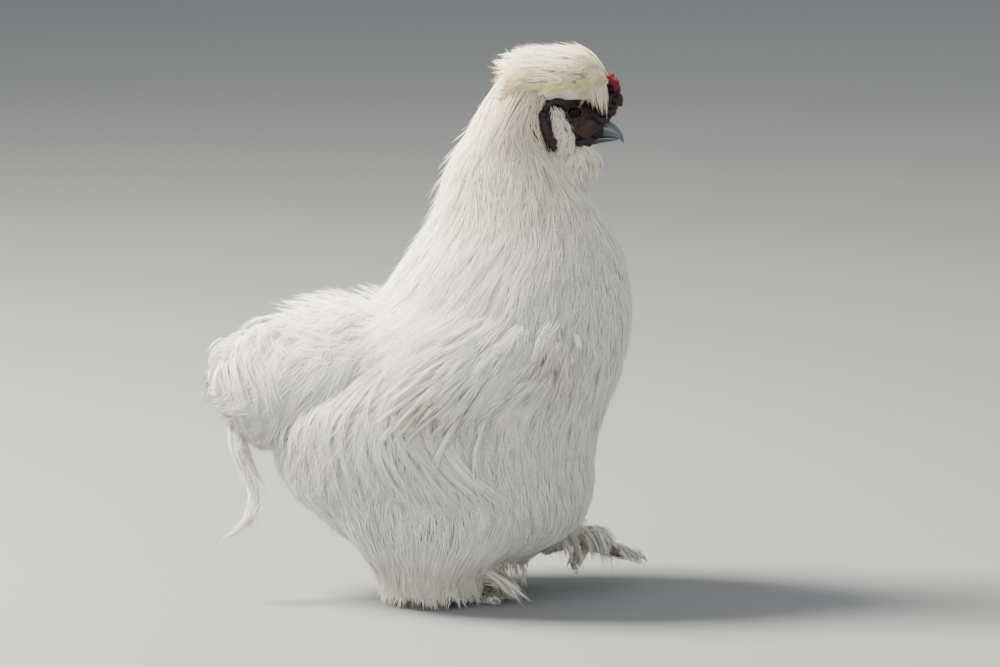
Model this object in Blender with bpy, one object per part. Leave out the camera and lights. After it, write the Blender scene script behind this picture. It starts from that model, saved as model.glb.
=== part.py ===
"""A life-size silkie cock in mid stride, one named solid for each part of the bird.

The bird faces +X and stands on its right foot, with its left foot lifted forward.
Its own left side is +Y, and the floor is z = 0.
"""

import math
import random

import bmesh
import bpy
from mathutils import Matrix, Vector

MM = 0.001
GAP = 0.3 * MM

# Driving dimensions, in millimetres. Each form below is given by its full outline, out
# to the tips of the plumage, and its core lies inside that by the depth given here.
DEPTH = {
    "torso": 9,
    "neck": 7,
    "saddle": 9,
    "tail": 11,
    "crest": 8,
    "wing": 0,
    "thigh": 6,
    "boot": 7,
    "beard": 5,
}
TOE_RADIUS = 3.6
EYE_RADIUS = 5.5
SOLE_SINK = 0.6

SIDES = {"right": -1, "left": 1}

# Rows of a form: place along its axis, low and high edge, half width, and place across
TORSO = [
    (29, -10, 62, 28),
    (40, -50, 92, 54),
    (56, -71, 111, 71),
    (80, -97, 119, 84),
    (108, -110, 120, 90),
    (134, -111, 127, 93),
    (160, -94, 137, 93),
    (182, -76, 143, 89),
    (200, -54, 145, 82),
    (216, -30, 145, 75),
    (235, -17, 142, 65),
]
NECK = [
    (235, -17, 142, 65),
    (252, -6, 138, 58),
    (270, 4, 129, 51),
    (288, 11, 117, 45),
    (306, 16, 102, 40),
    (322, 24, 91, 36),
    (338, 34, 81, 32),
    (352, 43, 71, 25),
    (361, 48, 66, 18),
]
SADDLE = [
    (-100, 112, 204, 52),
    (-84, 108, 209, 60),
    (-60, 112, 213, 68),
    (-30, 124, 214, 70),
    (0, 150, 212, 60),
]
TAIL = [
    (-154, 136, 150, 12),
    (-146, 124, 174, 24),
    (-130, 112, 193, 36),
    (-112, 108, 203, 46),
    (-100.3, 112, 204, 52),
]
SKULL = [
    (56, 331, 352, 9),
    (63, 323, 362, 17),
    (76, 317, 370, 21.5),
    (91, 316, 373, 22),
    (105, 320, 370, 18.5),
    (114, 324, 362, 13.5),
    (121, 327, 354, 9.5),
    (126, 328, 347, 7.5),
]
CREST = [
    (54, 354, 376, 14),
    (60, 348, 387, 22),
    (72, 344, 396, 30),
    (88, 343, 400, 33),
    (103, 345, 400, 32),
    (117, 350, 394, 26),
    (127, 358, 384, 17),
    (133, 367, 376, 8),
]
BEARD = [
    (290, 96, 112, 12),
    (299, 92, 119, 19),
    (311, 92, 124, 22),
    (320, 94, 123, 20),
    (326, 98, 118, 14),
]
BEAK_UPPER = [
    (120, 331.2, 344, 6.8),
    (126, 331, 343.2, 6.2),
    (132, 330.6, 340.5, 4.8),
    (137, 329.6, 336.2, 3),
    (140.6, 326.4, 330.6, 1),
]
BEAK_LOWER = [
    (118, 325, 330.8, 5.6),
    (126, 325.8, 330.6, 5),
    (132, 326.8, 330.2, 3.6),
    (136.4, 327.8, 329.2, 1.4),
]
# Rows of the folded wing on the flank: height, rear and front edge, and its thickness
WING = [
    (132, 30, 72, 2),
    (146, 14, 92, 4.5),
    (164, 8, 104, 6.5),
    (184, 20, 106, 6.5),
    (198, 38, 98, 4.5),
    (207, 56, 84, 2),
]
THIGH_RIGHT = [
    (26, -38, 46, 30, -34),
    (36, -44, 54, 34, -38),
    (54, -50, 64, 36, -40),
]
THIGH_LEFT = [
    (19, 42, 72, 16, 37),
    (30, 24, 88, 26, 38),
    (44, 14, 92, 30, 38),
    (60, 8, 90, 32, 38),
]
BOOT_RIGHT = [
    (3, -36, 46, 34, -26),
    (14, -36, 46, 32, -28),
    (25.7, -37, 45, 29, -33),
]
# Heading in degrees, length, and how far each toe of the lifted foot points down
TOES = {
    "inner": (36, 30, 14),
    "middle": (2, 40, 18),
    "outer": (-34, 32, 22),
    "hind": (170, 18, 62),
    "fifth": (128, 15, 44),
}
ANKLES = {"right": (22, -12, 9), "left": (116, 36, 40)}
SHANK_LEFT = ((80, 37, 34), (108, 36, 44))

WHITE = (0.86, 0.85, 0.80)
CREAM = (0.88, 0.82, 0.62)
MULBERRY = (0.09, 0.035, 0.035)
WINE = (0.12, 0.03, 0.035)
SLATE = (0.30, 0.33, 0.38)
EYE_BLACK = (0.02, 0.012, 0.01)
LEAD = (0.14, 0.15, 0.17)

draw = random.Random(7)


def smooth(rows, place):
    """Reads the rows of a form at a place along its axis, by a cubic through them."""
    last = len(rows) - 1
    place = min(max(place, rows[0][0]), rows[last][0])
    low = max(i for i in range(last) if i == 0 or rows[i][0] <= place)
    a, b = rows[low], rows[low + 1]
    before, after = rows[max(low - 1, 0)], rows[min(low + 2, last)]
    step = b[0] - a[0]
    t = (place - a[0]) / step
    found = []
    for k in range(1, len(a)):
        leave = (b[k] - before[k]) / (b[0] - before[0]) * step
        arrive = (after[k] - a[k]) / (after[0] - a[0]) * step
        found.append(
            (2 * t**3 - 3 * t**2 + 1) * a[k]
            + (t**3 - 2 * t**2 + t) * leave
            + (3 * t**2 - 2 * t**3) * b[k]
            + (t**3 - t**2) * arrive
        )
    low_edge, high_edge, half, *across = found
    return (low_edge + high_edge) / 2, (high_edge - low_edge) / 2, half, sum(across)


def on_form(rows, axis, place, turn, lift=0.0, flat=0.0):
    """A point of a form: turn is 0 at its front or top, and lift is out from its outline."""
    middle, reach, half, across = smooth(rows, place)
    rise = (max(math.cos(turn), flat - 1) + 1 - flat) * 2 / (2 - flat) - 1
    along = middle + (reach + lift) * rise
    side = across + (half + lift) * math.sin(turn)
    return Vector((along, side, place) if axis == "z" else (place, side, along))


def inside(rows, axis, point, margin=0.0):
    """Whether a point lies within the outline of a form, widened by the margin."""
    place = point.z if axis == "z" else point.x
    if not rows[0][0] - margin <= place <= rows[-1][0] + margin:
        return False
    middle, reach, half, across = smooth(rows, place)
    along = point.x if axis == "z" else point.z
    return ((along - middle) / (reach + margin)) ** 2 + (
        (point.y - across) / (half + margin)
    ) ** 2 < 1


def seated(point, seats, margin=3.0):
    """Whether another part of the bird sits on this place."""
    return any(inside(rows, axis, point, margin) for rows, axis in seats)


def winged(point, margin=0.0):
    """Whether a place on the flank lies under a folded wing."""
    if not WING[0][0] - margin <= point.z <= WING[-1][0] + margin:
        return False
    middle, reach, _, _ = smooth(WING, point.z)
    return abs(point.y) > 50 and abs(point.x - middle) < reach + margin


TORSO_SEATS = [(SADDLE, "x"), (TAIL, "x"), (THIGH_RIGHT, "z"), (THIGH_LEFT, "z")]
NECK_SEATS = [(BEARD, "z"), (SKULL, "x")]


def finished(name, bm, colour, roughness=0.8):
    """Makes an object of a bmesh, facing out, smooth shaded, in a material of its own."""
    bmesh.ops.recalc_face_normals(bm, faces=bm.faces)
    mesh = bpy.data.meshes.new(name)
    bm.to_mesh(mesh)
    bm.free()
    mesh.shade_smooth()
    obj = bpy.data.objects.new(name, mesh)
    bpy.context.scene.collection.objects.link(obj)
    material = bpy.data.materials.new(name)
    material.use_nodes = True
    shader = material.node_tree.nodes["Principled BSDF"]
    shader.inputs["Base Color"].default_value = (*colour, 1)
    shader.inputs["Roughness"].default_value = roughness
    mesh.materials.append(material)
    return obj


def bridged(name, rings, colour, roughness=0.8, tip=None):
    """A closed object through rings of points, capped, or drawn to a point at its tip."""
    bm = bmesh.new()
    loops = []
    for points in rings:
        verts = [bm.verts.new(p * MM) for p in points]
        loops.append([bm.edges.new((verts[k - 1], verts[k])) for k in range(len(verts))])
    for first, second in zip(loops, loops[1:]):
        bmesh.ops.bridge_loops(bm, edges=first + second)
    bmesh.ops.contextual_create(bm, geom=loops[0])
    if tip is None:
        bmesh.ops.contextual_create(bm, geom=loops[-1])
    else:
        point = bm.verts.new(tip * MM)
        for edge in loops[-1]:
            bm.faces.new((*edge.verts, point))
        bmesh.ops.triangulate(bm, faces=bm.faces, quad_method="SHORT_EDGE")
    return finished(name, bm, colour, roughness)


def form(name, rows, colour, axis="x", lift=0.0, segments=16, steps=8, flat=0.0, seat=None, ends=None):
    """A form bridged through evenly spaced rings, sunk by a negative lift except at its seats."""
    first, last = ends or (rows[0][0], rows[-1][0])
    rings = []
    for k in range(steps + 1):
        place = first + (last - first) * k / steps
        points = []
        for j in range(segments):
            turn = math.tau * (j + 0.5) / segments
            outer = on_form(rows, axis, place, turn, 0, flat)
            sunk = 0 if seat and seat(outer) else lift
            point = on_form(rows, axis, place, turn, sunk, flat)
            if lift > 0 and k in (0, steps):
                point += Vector((0, 0, 1) if axis == "z" else (1, 0, 0)) * (lift if k else -lift)
            points.append(point)
        rings.append(points)
    return bridged(name, rings, colour)


def grown(rows, axis="x", segments=16, steps=8, flat=0.0, ends=None):
    """A cutter in the shape of a form's outline, larger by the gap all round."""
    return form("cutter", rows, WHITE, axis, GAP / MM, segments, steps, flat, ends=ends)


def ball(name, centre, sizes, colour, turn=0.0, rings=8, segments=12):
    """An ellipsoid of the given half sizes, leaned about Y by the turn in degrees."""
    bm = bmesh.new()
    bmesh.ops.create_uvsphere(bm, u_segments=segments, v_segments=rings, radius=1)
    sized = Matrix.Diagonal((*[s * MM for s in sizes], 1))
    place = Matrix.Translation(Vector(centre) * MM)
    lean = Matrix.Rotation(math.radians(turn), 4, "Y")
    bmesh.ops.transform(bm, matrix=place @ lean @ sized, verts=bm.verts)
    return finished(name, bm, colour, 0.4)


def capsule(name, start, end, radii, colour, segments=6, roughness=0.6):
    """A round limb from one point to another, with a ring for each radius."""
    start, end = Vector(start), Vector(end)
    turn = (end - start).to_track_quat("Z", "Y").to_matrix()
    rings = []
    for k, radius in enumerate(radii):
        centre = start.lerp(end, k / (len(radii) - 1))
        angles = [math.tau * (j + 0.5) / segments for j in range(segments)]
        rings.append(
            [centre + turn @ Vector((radius * math.cos(a), radius * math.sin(a), 0)) for a in angles]
        )
    return bridged(name, rings, colour, roughness)


def apply_boolean(obj, operation, others, solver="EXACT"):
    """Applies one Boolean with a collection of the other objects, and removes them."""
    group = bpy.data.collections.new("tools")
    bpy.context.scene.collection.children.link(group)
    for other in others:
        group.objects.link(other)
    change = obj.modifiers.new(operation, "BOOLEAN")
    change.operation = operation
    change.operand_type = "COLLECTION"
    change.collection = group
    change.solver = solver
    graph = bpy.context.evaluated_depsgraph_get()
    mesh = bpy.data.meshes.new_from_object(obj.evaluated_get(graph))
    material = obj.data.materials[0]
    obj.modifiers.clear()
    obj.data = mesh
    mesh.materials.clear()
    mesh.materials.append(material)
    mesh.polygons.foreach_set("material_index", [0] * len(mesh.polygons))
    for other in others:
        bpy.data.objects.remove(other)
    bpy.data.collections.remove(group)
    keep_largest(obj)
    return obj


def keep_largest(obj):
    """Keeps the largest closed surface of a mesh and drops the scraps."""
    bm = bmesh.new()
    bm.from_mesh(obj.data)
    bmesh.ops.remove_doubles(bm, verts=bm.verts, dist=0.01 * MM)
    bmesh.ops.dissolve_degenerate(bm, edges=bm.edges, dist=0.01 * MM)
    left = set(bm.faces)
    islands = []
    while left:
        island, edge_of_island = set(), [left.pop()]
        while edge_of_island:
            face = edge_of_island.pop()
            island.add(face)
            near = {f for e in face.edges for f in e.link_faces} & left
            left -= near
            edge_of_island.extend(near)
        islands.append(island)
    islands.sort(key=lambda island: sum(f.calc_area() for f in island))
    scraps = [f for island in islands[:-1] for f in island]
    bmesh.ops.delete(bm, geom=scraps, context="FACES")
    for angle, method in ((0.012, "BEAUTY"), (0.012, "EAR_CLIP"), (0.002, "BEAUTY"), (0, "BEAUTY"), (0, "EAR_CLIP")):
        trial = bm.copy()
        if angle:
            bmesh.ops.dissolve_limit(trial, angle_limit=angle, verts=trial.verts, edges=trial.edges)
        bmesh.ops.triangulate(trial, faces=trial.faces, ngon_method=method)
        trial.to_mesh(obj.data)
        closed = all(len(edge.link_faces) == 2 for edge in trial.edges)
        trial.free()
        if closed:
            break
    bm.free()


# A lock's outline: share of its length, and its width and depth as shares of the most
LOCK_OUTLINE = ((0.0, 0.62, 1.0), (0.4, 1.0, 0.95), (0.75, 0.74, 0.6), (1.0, 0.3, 0.3))


def lock(points, outward, width, thick, colour=WHITE):
    """A flat lock or vane: diamond sections along its points, drawn to a tip at the last."""
    rings = []
    count = len(points) - 1
    for k in range(count):
        back, ahead = points[max(k - 1, 0)], points[k + 1]
        way = (ahead - back).normalized()
        out = outward[k] - way * outward[k].dot(way)
        out.normalize()
        side = out.cross(way) * width
        wide, deep = section(k / count)
        out *= thick * deep
        here = points[k]
        rings.append([here + side * wide, here + out, here - side * wide, here - out])
    return bridged("lock", rings, colour, tip=points[-1])


def section(share):
    """The width and depth of a lock at a share of its length."""
    k = max(j for j in range(len(LOCK_OUTLINE) - 1) if LOCK_OUTLINE[j][0] <= share)
    (t0, wide0, deep0), (t1, wide1, deep1) = LOCK_OUTLINE[k : k + 2]
    mix = (share - t0) / (t1 - t0)
    return wide0 + (wide1 - wide0) * mix, deep0 + (deep1 - deep0) * mix


def lying(rows, axis, start, end, lifts, width, thick, colour=WHITE):
    """A lock that lies on a form from one (place, turn) to another, rising by the lifts.

    Its edges follow the form, so that its neighbours lie over it without crossing it.
    """
    rings = []
    last = len(lifts) - 1
    for k in range(last):
        t = k / last
        place = start[0] + (end[0] - start[0]) * t
        turn = start[1] + (end[1] - start[1]) * t
        wide, deep = section(t)
        around = on_form(rows, axis, place, turn + 0.05) - on_form(rows, axis, place, turn - 0.05)
        along = on_form(rows, axis, place + 2, turn) - on_form(rows, axis, place - 2, turn)
        out = around.cross(along).normalized() * (-1 if axis == "x" else 1)
        spread = width * wide / (around.length * 10)
        here = on_form(rows, axis, place, turn, lifts[k])
        one = on_form(rows, axis, place, turn + spread, lifts[k])
        other = on_form(rows, axis, place, turn - spread, lifts[k])
        rings.append([one, here + out * thick * deep, other, here - out * thick * deep])
    tip = on_form(rows, axis, *end, lifts[-1])
    return bridged("lock", rings, colour, tip=tip)


def coat(rows, axis, tiers, spacing, lifts, thick, lie, skip, colour=WHITE):
    """Tiers of overlapping locks round a form. A tier is its place, length and share of width."""
    locks = []
    for number, (place, length, share) in enumerate(tiers):
        _, reach, half, _ = smooth(rows, place)
        around = math.tau * math.sqrt((reach**2 + half**2) / 2)
        count = max(6, round(around / (spacing * share)))
        for k in range(count):
            turn = math.tau * (k + 0.5 * (number % 2) + draw.uniform(-0.16, 0.16)) / count
            turn = (turn + math.pi) % math.tau - math.pi
            away = turn + lie * math.sin(turn) + draw.uniform(-0.05, 0.05)
            root = on_form(rows, axis, place, turn)
            run = length * draw.uniform(0.88, 1.12)
            runs = [r for r in (run, run * 0.6) if not skip(root, on_form(rows, axis, place - r, away))]
            if not runs:
                continue
            run = runs[0]
            rise = 0.55 if k % 2 else -0.55
            heights = [lifts[0], *[h + rise for h in lifts[1:]]]
            width = around / count * draw.uniform(0.53, 0.6)
            locks.append(
                lying(rows, axis, (place, turn), (place - run, away), heights, width, thick, colour)
            )
    return locks


def eye_place(side):
    return (105.5, side * 14.6, 347.5)


def lid_rim(side):
    """The raised rims of both lids, one closed almond-shaped tube round the eye."""
    x, y, z = eye_place(side)
    bm = bmesh.new()
    count, loops = 9, []
    for k in range(count):
        a = math.tau * k / count
        centre = Vector((x + 6.4 * math.cos(a), y + side * (3.4 - 0.8 * abs(math.cos(a))), z + 4.7 * math.sin(a)))
        spoke = Vector((math.cos(a), 0, math.sin(a)))
        verts = []
        for j in range(4):
            b = math.tau * j / 4
            verts.append(bm.verts.new((centre + spoke * math.cos(b) * 1.15 + Vector((0, math.sin(b) * 1.3, 0))) * MM))
        loops.append([bm.edges.new((verts[j - 1], verts[j])) for j in range(4)])
    for k in range(count):
        bmesh.ops.bridge_loops(bm, edges=loops[k - 1] + loops[k])
    return finished("lid", bm, MULBERRY)


def make_head():
    head = form("head", SKULL, MULBERRY, segments=16, steps=9)
    lids = []
    for side in SIDES.values():
        x, y, z = eye_place(side)
        lids.append(ball("lid", (x, y - side * 1.4, z), (7.2, 6.2, 6.6), MULBERRY, 0, 6, 9))
        lids.append(lid_rim(side))
    apply_boolean(head, "UNION", lids)
    cutters = [grown(BEAK_UPPER, segments=12, steps=7, flat=0.9), grown(BEAK_LOWER, segments=10, steps=5)]
    for side in SIDES.values():
        cutters.append(ball("cutter", eye_place(side), [EYE_RADIUS + GAP / MM] * 3, MULBERRY, 0, 7, 11))
    apply_boolean(head, "DIFFERENCE", cutters)


def skull_guard():
    """A plain form that holds the skull and a little more, to carve the plumage round it."""
    return form("cutter", SKULL, WHITE, "x", 0.9, 14, 9)


def head_guard():
    """The skull and the swell round the eyes, larger by the gap, to carve its neighbours."""
    guard = grown(SKULL, segments=16, steps=9)
    lids = []
    for side in SIDES.values():
        x, y, z = eye_place(side)
        lids.append(ball("lid", (x, y - side * 1.2, z), (8.6, 7.4, 8), MULBERRY, 0, 6, 8))
    return apply_boolean(guard, "UNION", lids)


def make_eyes():
    for name, side in SIDES.items():
        ball(f"eye_{name}", eye_place(side), [EYE_RADIUS] * 3, EYE_BLACK, 0, 7, 11)


def make_beak():
    """The hooked upper beak, with a slit nostril on each side, and the lower beak."""
    upper = form("beak_upper", BEAK_UPPER, SLATE, segments=12, steps=7, flat=0.9)
    nostrils = []
    for side in SIDES.values():
        nostrils.append(ball("cutter", (127.6, side * 5.6, 338.6), (2.1, 1.5, 0.8), SLATE, 12, 5, 6))
    apply_boolean(upper, "DIFFERENCE", nostrils)
    form("beak_lower", BEAK_LOWER, SLATE, segments=10, steps=5)


# The walnut comb's rows of bulbs: place, height and radius
COMB_ROWS = ((129, 342, 4.2), (133, 350, 4.8), (136, 358.5, 5), (133, 368, 5.4))


def comb_bulbs(name, grow=0.0):
    """The walnut comb: rows of rounded bulbs up the front of the forehead, on a pad."""
    bulbs = [ball(name, (125, 0, 355), (8.5 + grow, 8 + grow, 17 + grow), WINE, -8, 6, 8)]
    for x, z, radius in COMB_ROWS:
        for column in (-1, 0, 1):
            size = radius - 0.6 * abs(column) + grow
            centre = (x - 2.4 * abs(column), column * 6.6, z + 1.2 * abs(column))
            bulbs.append(ball(name, centre, [size] * 3, WINE, 15 * column, 4, 6))
    return bulbs


def make_comb():
    pad, *bulbs = comb_bulbs("comb")
    apply_boolean(pad, "UNION", bulbs)
    apply_boolean(pad, "DIFFERENCE", [head_guard(), grown(BEAK_UPPER, segments=12, steps=7, flat=0.9)])
    pad.name = "comb"


def comb_guard():
    """A smooth form just larger than the comb, to carve the crest behind it."""
    pad = ball("guard", (125, 0, 355), (9, 9, 18), WINE, -8, 6, 10)
    return apply_boolean(pad, "UNION", [ball("guard", (131, 0, 357), (13.5, 14, 22), WINE, 3, 7, 12)])


# Tiers of the crest: place, length, and how far round to each side its locks grow
CREST_TIERS = ((125, 42, 1.6, 6), (110, 48, 2.2, 9), (91, 41, 2.4, 9))


def make_crest():
    """The crest, feather by feather: locks that rise from the brow and sweep back."""
    crest = form("crest", CREST, CREAM, "x", -DEPTH["crest"], 12, 6, ends=(62, 127))
    locks = []
    for place, length, reach, count in CREST_TIERS:
        for k in range(count):
            turn = reach * (2 * (k + 0.5) / count - 1) + draw.uniform(-0.06, 0.06)
            run = length * draw.uniform(0.86, 1.14)
            rise = 0.6 if k % 2 else -0.6
            lifts = (-10, -3.4 + rise, -0.8 + rise, 2 + draw.uniform(0, 3) if abs(turn) < 1.4 else 0.4)
            end = (place - run, turn * 1.04)
            locks.append(lying(CREST, "x", (place, turn), end, lifts, 8, 1.5, CREAM))
    for side in SIDES.values():
        for k in range(3):
            x = 111 + 5 * k
            points = [
                Vector((x - 2, side * (13 - 2 * k), 372)),
                Vector((x + 2, side * (20 - 3 * k), 362)),
                Vector((x + 4, side * (18.6 - 3 * k), 354.5 - 3.6 * k)),
            ]
            outward = [Vector((0.35, side, 0.2))] * 3
            locks.append(lock(points, outward, 4.6, 1.6, CREAM))
    apply_boolean(crest, "UNION", locks)
    apply_boolean(crest, "DIFFERENCE", [head_guard(), comb_guard()])


def lobe(name, side, grow=0.0):
    sizes = (4.6 + grow, 3.6 + grow, 16 + grow)
    return ball(name, (86, side * 22, 333), sizes, MULBERRY, -18, 7, 8)


def wattle(name, side, grow=0.0):
    sizes = (7.6 + grow, 3.6 + grow, 5.4 + grow)
    return ball(name, (110, side * 9, 327), sizes, WINE, 8, 6, 8)


def make_lobes_and_wattles():
    for name, side in SIDES.items():
        apply_boolean(lobe(f"earlobe_{name}", side), "DIFFERENCE", [skull_guard()])
        cutters = [head_guard(), grown(BEAK_LOWER, segments=10, steps=5)]
        apply_boolean(wattle(f"wattle_{name}", side), "DIFFERENCE", cutters)


def cheek_locks(side):
    """The tuft between the face and the earlobe, whose locks run down and forward."""
    locks = []
    for k in range(5):
        top = Vector((90 + 2.6 * k, side * (21.5 - 0.5 * k), 349 - 4.5 * k))
        points = [
            top - Vector((0, side * 3, 0)),
            top + Vector((4, side * 2.4, -7)),
            top + Vector((8.5, side * 2.6, -16)),
        ]
        outward = [Vector((0.2, side, 0.1))] * 3
        locks.append(lock(points, outward, 3.2, 1.3))
    return locks


def cheek_guard(side):
    return ball("cutter", (98, side * 20, 334.5), (13.3, 8.6, 18), WHITE, -24)


def make_cheeks():
    for name, side in SIDES.items():
        cheek = ball(f"cheek_{name}", (97, side * 18, 336), (9, 6.4, 12), WHITE, -20, 6, 8)
        apply_boolean(cheek, "UNION", cheek_locks(side))
        cutters = [skull_guard(), lobe("cutter", side, GAP / MM), wattle("cutter", side, GAP / MM)]
        apply_boolean(cheek, "DIFFERENCE", cutters)


# Tiers of locks: place of the roots, length, and how wide beside the others
NECK_TIERS = ((350, 52, 0.85), (319, 54, 0.95), (288, 54, 1.05), (258, 46, 1.1))


def make_neck_and_beard():
    """The hackle, whose last tier hangs free over the shoulders, and the beard."""
    neck = form(
        "neck", NECK, WHITE, "z", -DEPTH["neck"], 16, 9, seat=lambda point: seated(point, NECK_SEATS)
    )

    def bare(root, tip):
        return root.x > 60 and root.z > 292

    locks = coat(NECK, "z", NECK_TIERS[:-1], 31, (-11, -3.6, -1), 1.9, 0.16, bare)
    place, length, share = NECK_TIERS[-1]
    count = 15
    for k in range(count):
        turn = math.tau * (k + 0.5) / count - math.pi
        behind = max(-math.cos(turn), 0)
        run = (length - 8 * behind) * draw.uniform(0.9, 1.08)
        rise = 0.6 if k % 2 else -0.6
        lifts = (-11, -2.5 + rise, 1.9 + rise, 3.2 + rise, 4)
        away = turn + 0.1 * math.sin(turn)
        locks.append(lying(BODY, "z", (place, turn), (place - run, away), lifts, 12, 1.3))
    apply_boolean(neck, "UNION", locks)
    cutters = [skull_guard(), form("cutter", CREST, WHITE, "x", 2.1, 12, 8)]
    for side in SIDES.values():
        cutters.append(lobe("cutter", side, GAP / MM))
        cutters.append(cheek_guard(side))
    apply_boolean(neck, "DIFFERENCE", cutters)

    beard = form("beard", BEARD, WHITE, "z", -DEPTH["beard"], 10, 4, ends=(298, 326))

    def hidden(root, tip):
        return inside(NECK, "z", root, 2)

    tiers = ((321, 20, 1.0), (308, 19, 0.9))
    locks = coat(BEARD, "z", tiers, 20, (-8, -2.2, 0), 1.6, 0.2, hidden)
    apply_boolean(beard, "UNION", locks)
    cutters = [skull_guard(), grown(BEAK_LOWER, segments=10, steps=5), grown(NECK, "z", 16, 9)]
    for side in SIDES.values():
        cutters.append(wattle("cutter", side, GAP / MM))
        cutters.append(cheek_guard(side))
    apply_boolean(beard, "DIFFERENCE", cutters)


BODY = TORSO + NECK[1:]
TORSO_TIERS = ((228, 66, 1.0), (193, 70, 1.0), (156, 70, 1.0), (119, 66, 1.0), (82, 46, 1.0))
TORSO_ENDS = (33, 235 - GAP / MM)


def torso_guard():
    return grown(TORSO, "z", 22, 12, ends=TORSO_ENDS)


def flank(x, z, side):
    """The turn round the torso of a place on its side, seen from the side."""
    middle, reach, _, _ = smooth(TORSO, z)
    return side * math.acos(min(max((x - middle) / reach, -1), 1))


def make_torso():
    """The body, in tiers of locks that lie down and back, with long hackles on the flank."""

    def seat(point):
        return seated(point, TORSO_SEATS) or winged(point, 6)

    def bare(root, tip):
        return seated(root, TORSO_SEATS, 1) or seated(tip, TORSO_SEATS, 4) or winged(root, -6)

    torso = form(
        "torso", TORSO, WHITE, "z", -DEPTH["torso"], 22, 12, seat=seat, ends=TORSO_ENDS
    )
    locks = coat(TORSO, "z", TORSO_TIERS, 46, (-13, -4, -1.6), 2.3, 0.12, bare)
    for side in SIDES.values():
        for k in range(3):
            x = -52 + 12 * k + draw.uniform(-2, 2)
            drop = draw.uniform(0.75, 1.05)
            path = ((0, 0), (34, 5), (72, 12), (106, 22), (128, 30))
            points = []
            for (down, along), lift in zip(path, (-12, -0.4, 1.2, 2, 3)):
                z = 184 - 6 * k - down * drop
                points.append(on_form(TORSO, "z", z, flank(x + along * drop, z, side), lift))
            outward = [Vector((-0.3, side, 0))] * 5
            locks.append(lock(points, outward, draw.uniform(4, 6), 1.2))
    apply_boolean(torso, "UNION", locks)


# The long sickle feather, seen from the side: place and height
SICKLE = (
    (-104, 184),
    (-116, 180),
    (-129, 163),
    (-136, 137),
    (-134, 104),
    (-122, 82),
    (-124, 66),
    (-138, 51),
    (-151, 43),
)


def make_saddle_and_tail():
    """The cushion of the back, and the tail that arches behind it with a long sickle."""
    saddle = form("saddle", SADDLE, WHITE, "x", -DEPTH["saddle"], 16, 6)

    def buried(root, tip):
        return inside(TORSO, "z", root, 1) or inside(NECK, "z", root, 2)

    tiers = ((-2, 44, 1.0), (-26, 46, 1.0), (-50, 44, 1.0), (-76, 36, 1.0))
    locks = coat(SADDLE, "x", tiers, 30, (-13, -3.4, 0.5), 2, 0.24, buried)
    apply_boolean(saddle, "UNION", locks)
    apply_boolean(saddle, "DIFFERENCE", [torso_guard(), grown(NECK, "z", 16, 9)])

    tail = form("tail", TAIL, WHITE, "x", -DEPTH["tail"], 12, 3, ends=(-138, -100.3))
    tiers = ((-108, 42, 1.0), (-122, 32, 1.0))

    def under(root, tip):
        return inside(TORSO, "z", root, 4)

    locks = coat(TAIL, "x", tiers, 27, (-16, -4.6, 1), 1.8, 0.3, under)
    for side, count in ((-1, 9), (1, 6)):
        points = [Vector((x, side * (8 + 2 * k), z)) for k, (x, z) in enumerate(SICKLE[:count])]
        outward = [Vector((-0.5, side, 0.3))] * count
        locks.append(lock(points, outward, 5.5, 1.4))
    apply_boolean(tail, "UNION", locks)
    apply_boolean(tail, "DIFFERENCE", [torso_guard()])


# Tiers of wing feathers: how many, first and last root and their height, first and last
# tip, their heights and sag, and how far the feathers stand off the body
WING_TIERS = (
    (8, (14, 92, 156), (-6, 82, 118, 124, 34), (2.5, 2.2, 2.6)),
    (7, (12, 98, 172), (-2, 96, 140, 148, 24), (4, 4.6, 5)),
    (6, (22, 102, 190), (12, 106, 162, 168, 12), (4, 7, 7.2)),
    (4, (44, 96, 204), (38, 108, 182, 184, 6), (1.5, 8.6, 9)),
)


def wing_pad(name, side):
    """The folded wing under its feathers: a swell that follows the flank."""
    rings = []
    for z, rear, front, bulge in WING:
        outer, inner = [], []
        for j in range(6):
            turn = flank(rear + (front - rear) * j / 5, z, side)
            swell = 1.3 + bulge * math.sin(math.pi * (0.1 + 0.8 * j / 5))
            outer.append(on_form(TORSO, "z", z, turn, swell))
            inner.append(on_form(TORSO, "z", z, turn, 0.6))
        rings.append(outer + inner[::-1])
    return bridged(name, rings, WHITE)


def make_wings():
    for name, side in SIDES.items():
        wing = wing_pad(f"wing_{name}", side)
        locks = []
        for count, roots, tips, lifts in WING_TIERS:
            for k in range(count):
                t = k / (count - 1)
                x0, z0 = roots[0] + (roots[1] - roots[0]) * t, roots[2]
                sag = 1 - (2 * t - 1) ** 2
                x1 = tips[0] + (tips[1] - tips[0]) * t
                z1 = tips[2] + (tips[3] - tips[2]) * t - tips[4] * sag + draw.uniform(-3, 3)
                rise = 0.45 if k % 2 else -0.45
                heights = [lifts[0], lifts[1] + rise, lifts[2] + rise, lifts[2] + rise + 0.4]
                start = (z0, flank(x0, z0, side))
                end = (z1, flank(x1, z1, side))
                width = 0.6 * (roots[1] - roots[0]) / (count - 1)
                locks.append(lying(TORSO, "z", start, end, heights, width, 0.8))
        apply_boolean(wing, "UNION", locks)


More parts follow.
